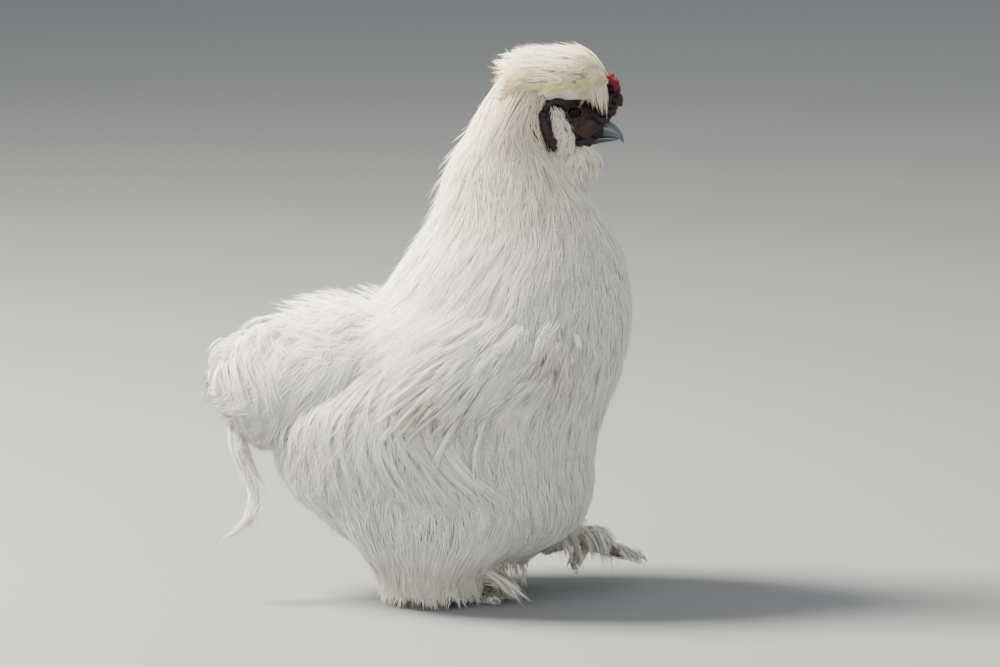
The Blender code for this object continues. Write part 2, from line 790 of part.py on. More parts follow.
def foot_pieces(name, grow=0.0):
    """The ball of a foot and its five toes."""
    ankle = Vector(ANKLES[name])
    middle = ankle - Vector((0, 0, 9 - TOE_RADIUS + SOLE_SINK))
    sizes = (8 + grow, 7 + grow, 6 + grow)
    pieces = [ball(f"foot_{name}", middle, sizes, LEAD, 0, 6, 8)]
    tips = {}
    for toe, (heading, length, droop) in TOES.items():
        pitch = math.radians(droop if name == "left" else 0)
        turn = Matrix.Rotation(math.radians(-SIDES[name] * heading), 3, "Z")
        away = turn @ Vector((math.cos(pitch), 0, -math.sin(pitch)))
        radii = [r + grow for r in (TOE_RADIUS, 4.1, 3.2, 2.4)]
        pieces.append(capsule("toe", middle, middle + away * (length + grow), radii, LEAD))
        tips[toe] = (middle + away * (length + GAP / MM), away)
    return pieces, tips


def make_feet():
    for name in SIDES:
        (foot, *toes), tips = foot_pieces(name)
        apply_boolean(foot, "UNION", toes)
        for toe, (tip, away) in tips.items():
            capsule(f"claw_{name}_{toe}", tip, tip + away * 6, (1.9, 1.5, 0.5), SLATE, 5)


def foot_guard(name):
    """A foot with its claws, larger by the gap, to carve the feathers over it."""
    (foot, *toes), tips = foot_pieces(name, GAP / MM)
    for tip, away in tips.values():
        toes.append(capsule("claw", tip - away, tip + away * 6.4, (2.3, 2.2, 1.0), SLATE, 5))
    return apply_boolean(foot, "UNION", toes)


def below_floor():
    bm = bmesh.new()
    bmesh.ops.create_cube(bm, size=0.4)
    bmesh.ops.translate(bm, vec=(0, 0, -0.2), verts=bm.verts)
    return finished("cutter", bm, WHITE)


def make_legs():
    """The thighs, the boot down to the planted foot and the feathered shank of the lifted one."""

    def buried(root, tip):
        return inside(TORSO, "z", root, -3)

    for name, rows in (("right", THIGH_RIGHT), ("left", THIGH_LEFT)):
        thigh = form(f"thigh_{name}", rows, WHITE, "z", -DEPTH["thigh"], 12, 4)
        tiers = ((rows[-1][0] - 6, 28, 1.0),)
        locks = coat(rows, "z", tiers, 24, (-9, -3, -0.5), 2, 0.1, buried)
        apply_boolean(thigh, "UNION", locks)
        apply_boolean(thigh, "DIFFERENCE", [torso_guard()])

    boot = form("shank_right", BOOT_RIGHT, WHITE, "z", -DEPTH["boot"], 14, 3, ends=(10, 25.7))
    locks = []
    count = 12
    for k in range(count):
        turn = math.tau * (k + 0.5) / count - math.pi
        front = abs(turn) < 0.9
        end = (11.2 if front else -SOLE_SINK, turn)
        lifts = (-10, -1, 16) if front else (-10, -2.5, 1.5)
        locks.append(lying(BOOT_RIGHT, "z", (22, turn), end, lifts, 11, 2))
    apply_boolean(boot, "UNION", locks)
    apply_boolean(boot, "DIFFERENCE", [below_floor(), foot_guard("right")])

    start, end = SHANK_LEFT
    shank = capsule("shank_left", start, end, (13, 12, 8), WHITE, 10)
    locks = []
    for k in range(3):
        for side in (-1, 1):
            t = (k + 0.5) / 3
            root = Vector(start).lerp(Vector(end), t) + Vector((0, side * 5, -2))
            points = [
                root,
                root + Vector((4, side * 6, -7)),
                root + Vector((9, side * 7, -15 - 5 * t)),
            ]
            outward = [Vector((0, side, 0))] * 3
            locks.append(lock(points, outward, 6.4, 1.6))
    for k in range(2):
        for side in (-1, 1):
            root = Vector(end) + Vector((-4, side * 3, 2 - 4 * k))
            points = [
                root,
                root + Vector((9, side * (9 + k), -3)),
                root + Vector((15 + 3 * k, side * (11 + k), -15)),
                root + Vector((17 + 5 * k, side * (9 + k), -26 + 3 * k)),
            ]
            outward = [Vector((0.2, side, 0.3))] * 4
            locks.append(lock(points, outward, 5.2, 1.5))
    apply_boolean(shank, "UNION", locks)
    cutters = [grown(THIGH_LEFT, "z", 12, 4), torso_guard(), foot_guard("left")]
    apply_boolean(shank, "DIFFERENCE", cutters)


def carve_feet():
    """Cuts each foot clear of the core that comes down over it, and flat on the floor."""
    cutters = {
        "right": [form("cutter", BOOT_RIGHT, WHITE, "z", GAP / MM - DEPTH["boot"], 14, 3, ends=(9.7, 26)), below_floor()],
        "left": [],
    }
    for name, tools in cutters.items():
        if tools:
            apply_boolean(bpy.data.objects[f"foot_{name}"], "DIFFERENCE", tools)


def clear_scene():
    for obj in list(bpy.data.objects):
        bpy.data.objects.remove(obj)


def centre_on_floor():
    """Moves the bird so that its box stands centred over the origin."""
    corners = [obj.matrix_world @ Vector(c) for obj in bpy.data.objects for c in obj.bound_box]
    middle = [(min(c[k] for c in corners) + max(c[k] for c in corners)) / 2 for k in (0, 1)]
    for obj in bpy.data.objects:
        obj.data.transform(Matrix.Translation((-middle[0], -middle[1], 0)))


clear_scene()
make_torso()
make_neck_and_beard()
make_head()
make_eyes()
make_beak()
make_comb()
make_crest()
make_lobes_and_wattles()
make_cheeks()
make_saddle_and_tail()
make_wings()
make_legs()
make_feet()
carve_feet()
centre_on_floor()
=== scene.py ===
"""A life-size white silkie cock in mid stride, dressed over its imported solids."""

import math

import bmesh
import bpy
import numpy as np
from mathutils import Matrix, Vector


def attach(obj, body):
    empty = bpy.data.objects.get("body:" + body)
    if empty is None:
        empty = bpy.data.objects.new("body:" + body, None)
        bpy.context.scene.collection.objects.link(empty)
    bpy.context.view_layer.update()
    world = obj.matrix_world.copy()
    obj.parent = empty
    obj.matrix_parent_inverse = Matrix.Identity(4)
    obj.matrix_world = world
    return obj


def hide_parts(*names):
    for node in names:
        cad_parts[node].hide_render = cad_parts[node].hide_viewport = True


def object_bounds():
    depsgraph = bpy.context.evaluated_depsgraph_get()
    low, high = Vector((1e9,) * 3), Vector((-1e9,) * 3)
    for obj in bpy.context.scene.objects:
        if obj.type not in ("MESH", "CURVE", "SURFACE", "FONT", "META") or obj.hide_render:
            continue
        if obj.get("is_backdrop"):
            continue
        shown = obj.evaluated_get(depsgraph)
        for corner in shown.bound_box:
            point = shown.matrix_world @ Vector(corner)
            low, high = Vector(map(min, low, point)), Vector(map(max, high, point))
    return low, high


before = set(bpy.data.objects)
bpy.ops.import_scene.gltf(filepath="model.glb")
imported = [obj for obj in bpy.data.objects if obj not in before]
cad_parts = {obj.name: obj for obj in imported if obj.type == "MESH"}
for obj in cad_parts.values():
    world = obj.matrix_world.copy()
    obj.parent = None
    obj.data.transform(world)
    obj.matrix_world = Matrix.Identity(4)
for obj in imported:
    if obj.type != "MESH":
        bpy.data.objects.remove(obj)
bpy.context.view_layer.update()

# Camera
# The bird is seen from its right side, from a little above, through a long lens.
# The view is centred on the hips and keeps the whole bird in the frame.
AIM = Vector((0.0507, 0.0, 0.190))
RISE = math.radians(8)
AWAY = 3.2
camera = bpy.data.objects.new("camera", bpy.data.cameras.new("camera"))
bpy.context.scene.collection.objects.link(camera)
bpy.context.scene.camera = camera
camera.data.lens = 162
camera.data.sensor_width = 36
camera.data.clip_end = 50
camera.location = AIM + Vector((0, -math.cos(RISE), math.sin(RISE))) * AWAY
camera.rotation_euler = (AIM - camera.location).to_track_quat("-Z", "Y").to_euler()


# Studio
# A pale floor in matt paint, far wider than the picture.
# One large lamp stands high behind the left, with soft light from the front and all round.
def painted(hex_colour):
    """A colour written as sRGB hex, turned to the linear one that a shader takes."""
    parts = [int(hex_colour[k : k + 2], 16) / 255 for k in (1, 3, 5)]
    return (*[p / 12.92 if p <= 0.04045 else ((p + 0.055) / 1.055) ** 2.4 for p in parts], 1.0)


def add(tree, kind, settings=None, **links):
    """Adds a node with its settings, and joins or sets the inputs named in links."""
    made = tree.nodes.new(kind)
    for key, value in (settings or {}).items():
        setattr(made, key, value)
    for key, value in links.items():
        socket = made.inputs[int(key[1:]) if key[1:].isdigit() else key.replace("_", " ")]
        if isinstance(value, bpy.types.NodeSocket):
            tree.links.new(value, socket)
        else:
            socket.default_value = value
    return made


def new_material(name):
    """An empty material, its tree and its Principled shader."""
    material = bpy.data.materials.new(name)
    material.use_nodes = True
    tree = material.node_tree
    return material, tree, tree.nodes["Principled BSDF"]


def linked(name, mesh, material=None):
    """An object for a mesh, standing at the origin, in its material."""
    obj = bpy.data.objects.new(name, mesh)
    bpy.context.scene.collection.objects.link(obj)
    if material:
        mesh.materials.append(material)
    return obj

def built(name, bm, material=None):
    """An object with the shape drawn in a bmesh, which is then let go."""
    mesh = bpy.data.meshes.new(name)
    bm.to_mesh(mesh)
    bm.free()
    return linked(name, mesh, material)


floor_paint, tree, shader = new_material("matt_floor_paint")
shader.inputs["Base Color"].default_value = painted("#717372")
shader.inputs["Roughness"].default_value = 0.9
bm = bmesh.new()
bmesh.ops.create_grid(bm, x_segments=2, y_segments=2, size=20)
built("floor", bm, floor_paint)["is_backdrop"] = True

world = bpy.data.worlds.new("studio")
bpy.context.scene.world = world
world.use_nodes = True
sky = world.node_tree.nodes["Background"]
sky.inputs["Color"].default_value = painted("#DDE1E6")
sky.inputs["Strength"].default_value = 1.05
LAMPS = (
    ("high_lamp", (-1.7, 0.15, 2.1), 0.9, 540, "#FFF8EC"),
    ("side_lamp", (-1.5, -1.9, 1.3), 1.8, 36, "#F2F6FF"),
    ("front_lamp", (1.3, -2.2, 0.9), 2.0, 26, "#FFFFFF"),
)
for name, place, size, power, colour in LAMPS:
    lamp = bpy.data.lights.new(name, "AREA")
    lamp.size = size
    lamp.energy = power
    lamp.color = painted(colour)[:3]
    stand = bpy.data.objects.new(name, lamp)
    bpy.context.scene.collection.objects.link(stand)
    stand.location = place
    stand.rotation_euler = (Vector((0, 0, 0.2)) - stand.location).to_track_quat("-Z", "Y").to_euler()


# Skin
# The body under the plumage: closed skin thick with white down, one sheet from crown to boots.
# It lies inside the plumage by the depth of the coat, and is shaped from rows of outlines.
SHIFT = np.array((-2.312, -0.012, 0.0))
# Rows are in millimetres, and SHIFT centres them over the middle of the bird's box.
# Each has its place along the form, low and high edge, half width, and place across
TORSO_ROWS = (
    (29, -10, 62, 28), (40, -50, 92, 54), (56, -71, 111, 71), (80, -97, 119, 84), (108, -110, 120, 90),
    (134, -111, 127, 93), (160, -94, 137, 93), (182, -76, 143, 89), (200, -54, 145, 82), (216, -30, 145, 75),
    (235, -17, 142, 65),
)
NECK_ROWS = (
    (235, -17, 142, 65), (252, -6, 138, 58), (270, 4, 129, 51), (288, 11, 117, 45), (306, 16, 102, 40),
    (322, 24, 91, 36), (338, 34, 81, 32), (352, 43, 71, 25), (361, 48, 66, 18),
)
SADDLE_ROWS = (
    (-100, 112, 204, 52), (-84, 108, 209, 60), (-60, 112, 213, 68), (-30, 124, 214, 70), (0, 150, 212, 60),
)
TAIL_ROWS = (
    (-154, 136, 150, 12), (-146, 124, 174, 24), (-130, 112, 193, 36), (-112, 108, 203, 46),
    (-100.3, 112, 204, 52),
)
BUSTLE_ROWS = (
    (-154, 150, 162, 6), (-149, 141, 172, 17), (-142, 132, 182, 27), (-130, 120, 193, 37),
    (-112, 110, 202, 46), *SADDLE_ROWS,
)
SKULL_ROWS = (
    (56, 331, 352, 9), (63, 323, 362, 17), (76, 317, 370, 21.5), (91, 316, 373, 22), (105, 320, 370, 18.5),
    (114, 324, 362, 13.5), (121, 327, 354, 9.5), (126, 328, 347, 7.5),
)
CREST_ROWS = (
    (54, 354, 376, 14), (60, 348, 387, 22), (72, 344, 396, 30), (88, 343, 400, 33), (103, 345, 400, 32),
    (117, 350, 394, 26), (127, 358, 384, 17), (133, 367, 376, 8),
)
HAIR_ROWS = (
    (50, 350, 380, 22), (58, 347, 386, 27), (70, 345, 390.5, 30), (86, 343, 393, 32.5), (103, 345, 394.5, 32),
    (114, 349, 393, 28), (121, 353, 389.5, 23), (128, 359, 383, 16), (133, 367, 375, 8),
)
BEARD_ROWS = (
    (290, 96, 112, 12), (299, 92, 119, 19), (311, 92, 124, 22), (320, 94, 123, 20), (326, 98, 118, 14),
)
THIGH_ROWS = {
    "right": ((26, -38, 46, 30, -34), (36, -44, 54, 34, -38), (54, -50, 64, 36, -40)),
    "left": ((19, 42, 72, 16, 37), (30, 24, 88, 26, 38), (44, 14, 92, 30, 38), (60, 8, 90, 32, 38)),
}
BOOT_ROWS = ((3, -36, 46, 34, -26), (14, -36, 46, 32, -28), (25.7, -37, 45, 29, -33))


def curve_through(rows):
    """A smooth curve through rows, read at a place, and how far past its ends the place lies."""
    rows = np.array(rows, float)
    places, values = rows[:, 0], rows[:, 1:]
    slopes = np.gradient(values, places, axis=0)
    slopes[1:-1] = (values[2:] - values[:-2]) / (places[2:] - places[:-2])[:, None]

    def read(place):
        place = np.asarray(place, float)
        held = np.clip(place, places[0], places[-1])
        k = np.clip(np.searchsorted(places, held, "right") - 1, 0, len(places) - 2)
        step = places[k + 1] - places[k]
        t = ((held - places[k]) / step)[..., None]
        step = step[..., None]
        found = (2 * t**3 - 3 * t**2 + 1) * values[k] + (t**3 - 2 * t**2 + t) * step * slopes[k]
        found += (3 * t**2 - 2 * t**3) * values[k + 1] + (t**3 - t**2) * step * slopes[k + 1]
        return found, place - held

    return read


def form(axis, rows):
    """The surface of a form, read at a place, a turn from its front or top, and a lift."""
    read = curve_through([(*row, 0.0) if len(row) == 4 else row for row in rows])

    def where(place, turn, lift=0.0):
        place, turn = np.broadcast_arrays(place, turn)
        found, beyond = read(place)
        low, high, half, across = np.moveaxis(found, -1, 0)
        along = (low + high) / 2 + ((high - low) / 2 + lift) * np.cos(turn)
        side = across + (half + lift) * np.sin(turn)
        if axis == "z":
            return np.stack([along, side, place + 0 * along], -1)
        return np.stack([place + 0 * along, side, along], -1)

    def holds(points, margin=0.0):
        place = points[..., 2] if axis == "z" else points[..., 0]
        along = points[..., 0] if axis == "z" else points[..., 2]
        found, beyond = read(place)
        low, high, half, across = np.moveaxis(found, -1, 0)
        middle, reach = (low + high) / 2, (high - low) / 2
        near = ((along - middle) / (reach + margin)) ** 2
        near += ((points[..., 1] - across) / (half + margin)) ** 2
        return (near < 1) & (np.abs(beyond) <= max(margin, 0.001))

    where.holds = holds
    where.ends = (rows[0][0], rows[-1][0])
    where.heading = -1
    where.soft = 0.62
    return where


torso = form("z", TORSO_ROWS)
neck = form("z", NECK_ROWS)
trunk = form("z", TORSO_ROWS + NECK_ROWS[1:])
saddle = form("x", SADDLE_ROWS)
tail = form("x", TAIL_ROWS)
bustle = form("x", BUSTLE_ROWS)
skull = form("x", SKULL_ROWS)
crest = form("x", CREST_ROWS)
hair = form("x", HAIR_ROWS)
beard = form("z", BEARD_ROWS)
thighs = {side: form("z", rows) for side, rows in THIGH_ROWS.items()}
boot = form("z", BOOT_ROWS)


def limb(points, radii):
    """The surface round a bent line: place is the distance along it, and turn is 0 on top."""
    points = np.array(points, float)
    steps = np.r_[0, np.cumsum(np.linalg.norm(np.diff(points, axis=0), axis=1))]
    read = curve_through(np.column_stack([steps, points, radii]))
    across = np.cross(points[1] - points[0], (0.0, 0.001, 1.0))
    across /= np.linalg.norm(across)

    def where(place, turn, lift=0.0):
        place, turn = np.broadcast_arrays(place, turn)
        found, beyond = read(place)
        inner = np.clip(place, 0.5, steps[-1] - 0.5)
        way = read(inner + 0.4)[0][..., :3] - read(inner - 0.4)[0][..., :3]
        way /= np.linalg.norm(way, axis=-1, keepdims=True)
        side = across - way * (way * across).sum(-1, keepdims=True)
        side /= np.linalg.norm(side, axis=-1, keepdims=True)
        top = np.cross(side, way)
        out = (found[..., 3] + lift)[..., None]
        spread = np.cos(turn)[..., None] * top + np.sin(turn)[..., None] * side
        return found[..., :3] + way * beyond[..., None] + out * spread

    where.ends = (0.0, steps[-1])
    where.heading = 1
    where.soft = 0.0
    return where


def ring_loft(bm, rings):
    """Bridges rings of points in millimetres into one closed shell, capped at both ends."""
    loops = []
    for ring in rings:
        verts = [bm.verts.new((np.array(p) + SHIFT) * 0.001) for p in ring]
        loops.append([bm.edges.new((verts[k - 1], verts[k])) for k in range(len(verts))])
    for first, second in zip(loops, loops[1:]):
        bmesh.ops.bridge_loops(bm, edges=first + second)
    bmesh.ops.contextual_create(bm, geom=loops[0])
    bmesh.ops.contextual_create(bm, geom=loops[-1])


def add_form(bm, where, lift, segments, steps, ends=None):
    """A closed shell of a form at a lift from its outline."""
    first, last = ends or where.ends
    turns = (np.arange(segments) + 0.5) * math.tau / segments
    places = np.linspace(first, last, steps + 1)
    ring_loft(bm, [where(np.full(segments, place), turns, lift) for place in places])


def add_ball(bm, centre, sizes, lean=0.0, segments=24, rings=16):
    """A closed ellipsoid, leaned about Y by degrees."""
    made = bmesh.ops.create_uvsphere(bm, u_segments=segments, v_segments=rings, radius=1)
    place = Matrix.Translation((Vector(centre) + Vector(SHIFT)) * 0.001)
    leaned = Matrix.Rotation(math.radians(lean), 4, "Y")
    sized = Matrix.Diagonal((*[s * 0.001 for s in sizes], 1))
    bmesh.ops.transform(bm, matrix=place @ leaned @ sized, verts=made["verts"])


def add_tube(bm, points, radii, segments, steps=None):
    """A closed round tube along a bent line."""
    where = limb(points, radii)
    add_form(bm, where, 0.0, segments, steps or 4 * len(points))


def settle(piece):
    """Applies a piece's modifiers for good and smooths its shading."""
    rough = piece.data
    graph = bpy.context.evaluated_depsgraph_get()
    shaped = bpy.data.meshes.new_from_object(piece.evaluated_get(graph))
    piece.modifiers.clear()
    piece.data = shaped
    bpy.data.meshes.remove(rough)
    shaped.name = piece.name
    shaped.shade_smooth()


def fused(name, bm, voxel, passes):
    """Melts overlapping closed shells into one skin at a voxel size in millimetres, and eases it."""
    bmesh.ops.recalc_face_normals(bm, faces=bm.faces)
    piece = built(name, bm)
    melt = piece.modifiers.new("melt", "REMESH")
    melt.mode = "VOXEL"
    melt.voxel_size = voxel * 0.001
    melt.use_smooth_shade = True
    ease = piece.modifiers.new("ease", "SMOOTH")
    ease.factor = 0.5
    ease.iterations = passes
    settle(piece)
    return piece


def glow(points, centre, reach):
    """How near points lie to a centre on either side of the bird, from 0 to 1."""
    along, up = points[..., 0] - centre[0], points[..., 2] - centre[1]
    return np.exp(-(along**2 / reach[0] ** 2 + up**2 / reach[1] ** 2))


def markings(points):
    """How cream and how tan the plumage is at points in millimetres."""
    x, y, z = np.moveaxis(points, -1, 0)
    cream = 0.10 + 0.22 * np.clip((z - 225) / 110, 0, 1)
    cream = cream + 0.16 * np.clip((46 - z) / 40, 0, 1)
    flank = np.clip((np.abs(y) - 30) / 30, 0, 1)
    tan = 0.7 * glow(points, (6, 138), (18, 22)) + 0.6 * glow(points, (90, 170), (20, 24))
    tan = tan + 0.45 * glow(points, (48, 218), (9, 8)) + 0.3 * glow(points, (46, 136), (16, 18))
    tan = tan * flank + 0.30 * glow(points, (92, 40), (26, 16)) + 0.22 * glow(points, (10, 16), (50, 12))
    return cream, tan


def set_markings(mesh, tone, cream, tan):
    """Writes tone, cream and tan to the mesh's points, for the plumage material."""
    values = np.column_stack([tone, cream, tan]).astype(np.float32)
    layer = mesh.attributes.new("markings", "FLOAT_VECTOR", "POINT")
    layer.data.foreach_set("vector", values.ravel())


RGBA = {"data_type": "RGBA"}


def plumage_colour(tree):
    """White that runs from a cool grey to a clean white, to cream, and to tan where it is worn."""
    marks = add(tree, "ShaderNodeAttribute", {"attribute_name": "markings"})
    tone, cream, tan = add(tree, "ShaderNodeSeparateXYZ", _0=marks.outputs["Vector"]).outputs
    white = add(tree, "ShaderNodeMix", RGBA, _0=tone, _6=painted("#E3E3E2"), _7=painted("#FFFFFD"))
    warm = add(tree, "ShaderNodeMix", RGBA, _0=cream, _6=white.outputs[2], _7=painted("#F3DC96"))
    return add(tree, "ShaderNodeMix", RGBA, _0=tan, _6=warm.outputs[2], _7=painted("#A08350")).outputs[2]


# Down: short, dense, matt white fluff that hides the skin, drawn as coarse as 2 mm to show
down, tree, shader = new_material("white_down")
tree.links.new(plumage_colour(tree), shader.inputs["Base Color"])
shader.inputs["Roughness"].default_value = 0.95
shader.inputs["Specular IOR Level"].default_value = 0.15
spot = add(tree, "ShaderNodeTexCoord")
fluff = add(tree, "ShaderNodeTexNoise", _0=spot.outputs["Object"], Scale=480.0, Detail=4.0)
relief = add(tree, "ShaderNodeBump", Height=fluff.outputs["Fac"], Distance=0.002, Strength=0.8)
tree.links.new(relief.outputs["Normal"], shader.inputs["Normal"])

SHANK_LEFT = ((78, 37, 36), (94, 37, 40), (108, 36, 43), (115, 36, 41))
bm = bmesh.new()
add_form(bm, trunk, -6.0, 48, 40, (33, 235))
add_form(bm, trunk, -5.5, 48, 24, (225, 360))
add_form(bm, saddle, -6.0, 40, 14)
add_form(bm, bustle, -7.0, 32, 8, (-142, -96))
add_form(bm, crest, -7.5, 32, 12, (60, 127))
add_form(bm, beard, -4.0, 24, 8, (297, 326))
add_ball(bm, (92, 0, 312), (14, 17, 16))
for side in thighs:
    add_form(bm, thighs[side], -5.0, 28, 8)
add_form(bm, boot, -7.0, 28, 6, (8, 34))
add_tube(bm, SHANK_LEFT, (12, 11, 8.5, 7), 16)
skin = fused("skin", bm, 3.0, 6)
corners = np.zeros(len(skin.data.vertices) * 3, np.float32)
skin.data.vertices.foreach_get("co", corners)
corners = corners.reshape(-1, 3) * 1000 - SHIFT
cream, tan = markings(corners)
set_markings(skin.data, np.full(len(corners), 0.5), cream, tan * 0.6)
skin.data.materials.append(down)
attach(skin, "root")
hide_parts("torso", "neck", "beard", "saddle", "tail", "crest", "wing_left", "wing_right")
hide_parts("thigh_left", "thigh_right", "shank_left", "shank_right", "cheek_left", "cheek_right")


# Face
# Bare skin round the eye and down to the beak, dark mulberry, thin and finely wrinkled.
# The brow, both lids with their folds, the cheek and the corner of the mouth are one sheet.
def skin_material(name, dark, light, flush, spots, roughness, grain, depth):
    """Thin bare skin: two shades in soft patches, a flush at given spots, and a pebbled grain."""
    material, tree, shader = new_material(name)
    spot = add(tree, "ShaderNodeTexCoord").outputs["Object"]
    patches = add(tree, "ShaderNodeTexNoise", _0=spot, Scale=240.0, Detail=5.0, Roughness=0.6)
    spread = add(tree, "ShaderNodeMapRange", _0=patches.outputs["Fac"], _1=0.35, _2=0.68)
    colour = add(tree, "ShaderNodeMix", RGBA, _0=spread.outputs[0], _6=painted(dark), _7=painted(light))
    for centre, reach, strength in spots:
        middle = tuple(abs(c) for c in (Vector(centre) + Vector(SHIFT)) * 0.001)
        side = add(tree, "ShaderNodeVectorMath", {"operation": "ABSOLUTE"}, _0=spot)
        away = add(tree, "ShaderNodeVectorMath", {"operation": "DISTANCE"}, _0=side.outputs[0], _1=middle)
        near = {"_1": reach * 0.001, "_2": 0.0, "_3": 0.0, "_4": strength}
        share = add(tree, "ShaderNodeMapRange", _0=away.outputs["Value"], **near).outputs[0]
        colour = add(tree, "ShaderNodeMix", RGBA, _0=share, _6=colour.outputs[2], _7=painted(flush))
    pebbles = add(tree, "ShaderNodeTexVoronoi", {"feature": "SMOOTH_F1"}, _0=spot, Scale=grain)
    low = add(tree, "ShaderNodeTexNoise", _0=spot, Scale=grain * 0.35, Detail=4.0)
    heights = {"_0": pebbles.outputs["Distance"], "_1": -0.6, "_2": low.outputs["Fac"]}
    both = add(tree, "ShaderNodeMath", {"operation": "MULTIPLY_ADD"}, **heights)
    relief = add(tree, "ShaderNodeBump", Height=both.outputs[0], Distance=depth * 0.001, Strength=0.9)
    tree.links.new(colour.outputs[2], shader.inputs["Base Color"])
    tree.links.new(relief.outputs["Normal"], shader.inputs["Normal"])
    shader.inputs["Roughness"].default_value = roughness
    shader.inputs["Specular IOR Level"].default_value = 0.3
    shader.inputs["Subsurface Weight"].default_value = 0.06
    shader.inputs["Subsurface Radius"].default_value = (0.002, 0.0008, 0.0006)
    return material


def mirrored(points, side):
    """Points drawn on the bird's left, moved to the side asked for."""
    return [(x, side * y, z) for x, y, z in points]


# Bare face skin: almost black, dry and finely pebbled, with a faint flush by the mouth.
# Pattern scales count to the metre: 240 is a patch of 4 mm, and 1500 a pebble of 0.7 mm
FLUSHED = (((112, 15, 336), 12, 0.36), ((106, 17, 334), 6, 0.25))
face_skin = skin_material("mulberry_face_skin", "#0D0707", "#271614", "#4E1D17", FLUSHED, 0.5, 1500.0, 0.5)
EYE = {"right": (104.8, -14.6, 349.2), "left": (104.8, 14.6, 349.2)}
SIDES = {"right": -1, "left": 1}
# The bare strip that arches over the cheek tuft, from the earlobe to the eye
STRIP = ((83, 22.0, 349), (86.4, 24.6, 354.6), (92, 25.6, 358), (98, 23.4, 356.4), (101, 20.0, 352))
# The corner of the mouth
CORNER = ((112, 12.6, 327.2), (117, 10.0, 328.6), (122, 7.6, 330.0))
# The rim of the lids and two folds round it: ends in degrees, width, height, rise, thickness, stand
FOLDS = (
    ((0, 360), 6.6, 4.4, 0.0, 0.95, 3.5),
    ((150, 400), 8.9, 6.9, -0.6, 0.85, 1.9),
    ((150, 400), 11.2, 9.4, -1.4, 0.8, -0.6),
)
FOLD_STEPS = 26
wrinkle = np.random.default_rng(5)
skull_at = curve_through(SKULL_ROWS)
bm = bmesh.new()
add_form(bm, skull, 0.0, 48, 40)
for name, side in SIDES.items():
    x, y, z = EYE[name]
    add_ball(bm, (x, y - side * 2.0, z), (8.4, 6.4, 7.8))
    add_ball(bm, (x + 6.5, side * 10.6, 337.5), (11.0, 4.8, 8.0), -24)
    add_ball(bm, (x - 9.0, side * 17.5, 341.0), (6.0, 4.4, 10.0), -20)
    add_tube(bm, mirrored(STRIP, side), (1.6, 2.0, 2.2, 2.4, 2.2), 12, 24)
    add_ball(bm, (119, side * 6.4, 338), (7.0, 5.0, 5.4), 10)
    for fold, (ends, wide, tall, rise, thick, stand) in enumerate(FOLDS):
        arc, radii = [], []
        for k, a in enumerate(np.radians(np.linspace(*ends, FOLD_STEPS))):
            squint = abs(math.cos(a)) ** 3
            out = stand - (1.3 + 1.2 * fold) * squint
            up = rise + tall * math.sin(a) * (1 - 0.18 * squint)
            arc.append((x + wide * math.cos(a), y + side * out, z + up))
            fade = 1 if fold == 0 else math.sin(math.pi * (k + 1) / (FOLD_STEPS + 1)) ** 0.5
            radii.append(thick * fade)
        add_tube(bm, arc, radii, 8, 60)
    for k in range(5):
        crease = (
            (101 + 2.2 * k, 19.2 - 1.2 * k, 339.6 - 1.7 * k),
            (107 + 1.9 * k, 17.2 - 1.2 * k, 334.8 - 1.3 * k),
            (115 + 1.0 * k, 13.2 - 0.8 * k, 332.4 - 0.5 * k),
        )
        add_tube(bm, mirrored(crease, side), (0.5, 0.85, 0.4), 8, 14)
    for k in range(60):
        x, z = wrinkle.uniform(98, 120), wrinkle.uniform(331, 345)
        low, high, half = skull_at(x)[0]
        level = (z - (low + high) / 2) / ((high - low) / 2)
        out = half * math.sqrt(max(1 - level**2, 0.05)) + 0.1
        small = wrinkle.uniform(0.7, 1.5)
        sizes = (small * 1.5, 1.0, small)
        add_ball(bm, (x, side * out, z), sizes, wrinkle.uniform(-50, 20), 10, 8)
    add_tube(bm, mirrored(CORNER, side), (0.9, 1.0, 0.7), 8, 14)


def carve(piece, cutter, material):
    """Cuts the shapes in a bmesh out of a piece, and gives the piece its material."""
    tool = built("cutter", cutter)
    hollow = piece.modifiers.new("hollow", "BOOLEAN")
    hollow.operation = "DIFFERENCE"
    hollow.object = tool
    hollow.solver = "EXACT"
    settle(piece)
    bpy.data.objects.remove(tool)
    piece.data.materials.clear()
    piece.data.materials.append(material)


face = fused("face", bm, 0.6, 1)
sockets = bmesh.new()
for name in SIDES:
    add_ball(sockets, EYE[name], (5.9, 6.6, 5.0), 0, 40, 28)
carve(face, sockets, face_skin)
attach(face, "root")
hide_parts("head")


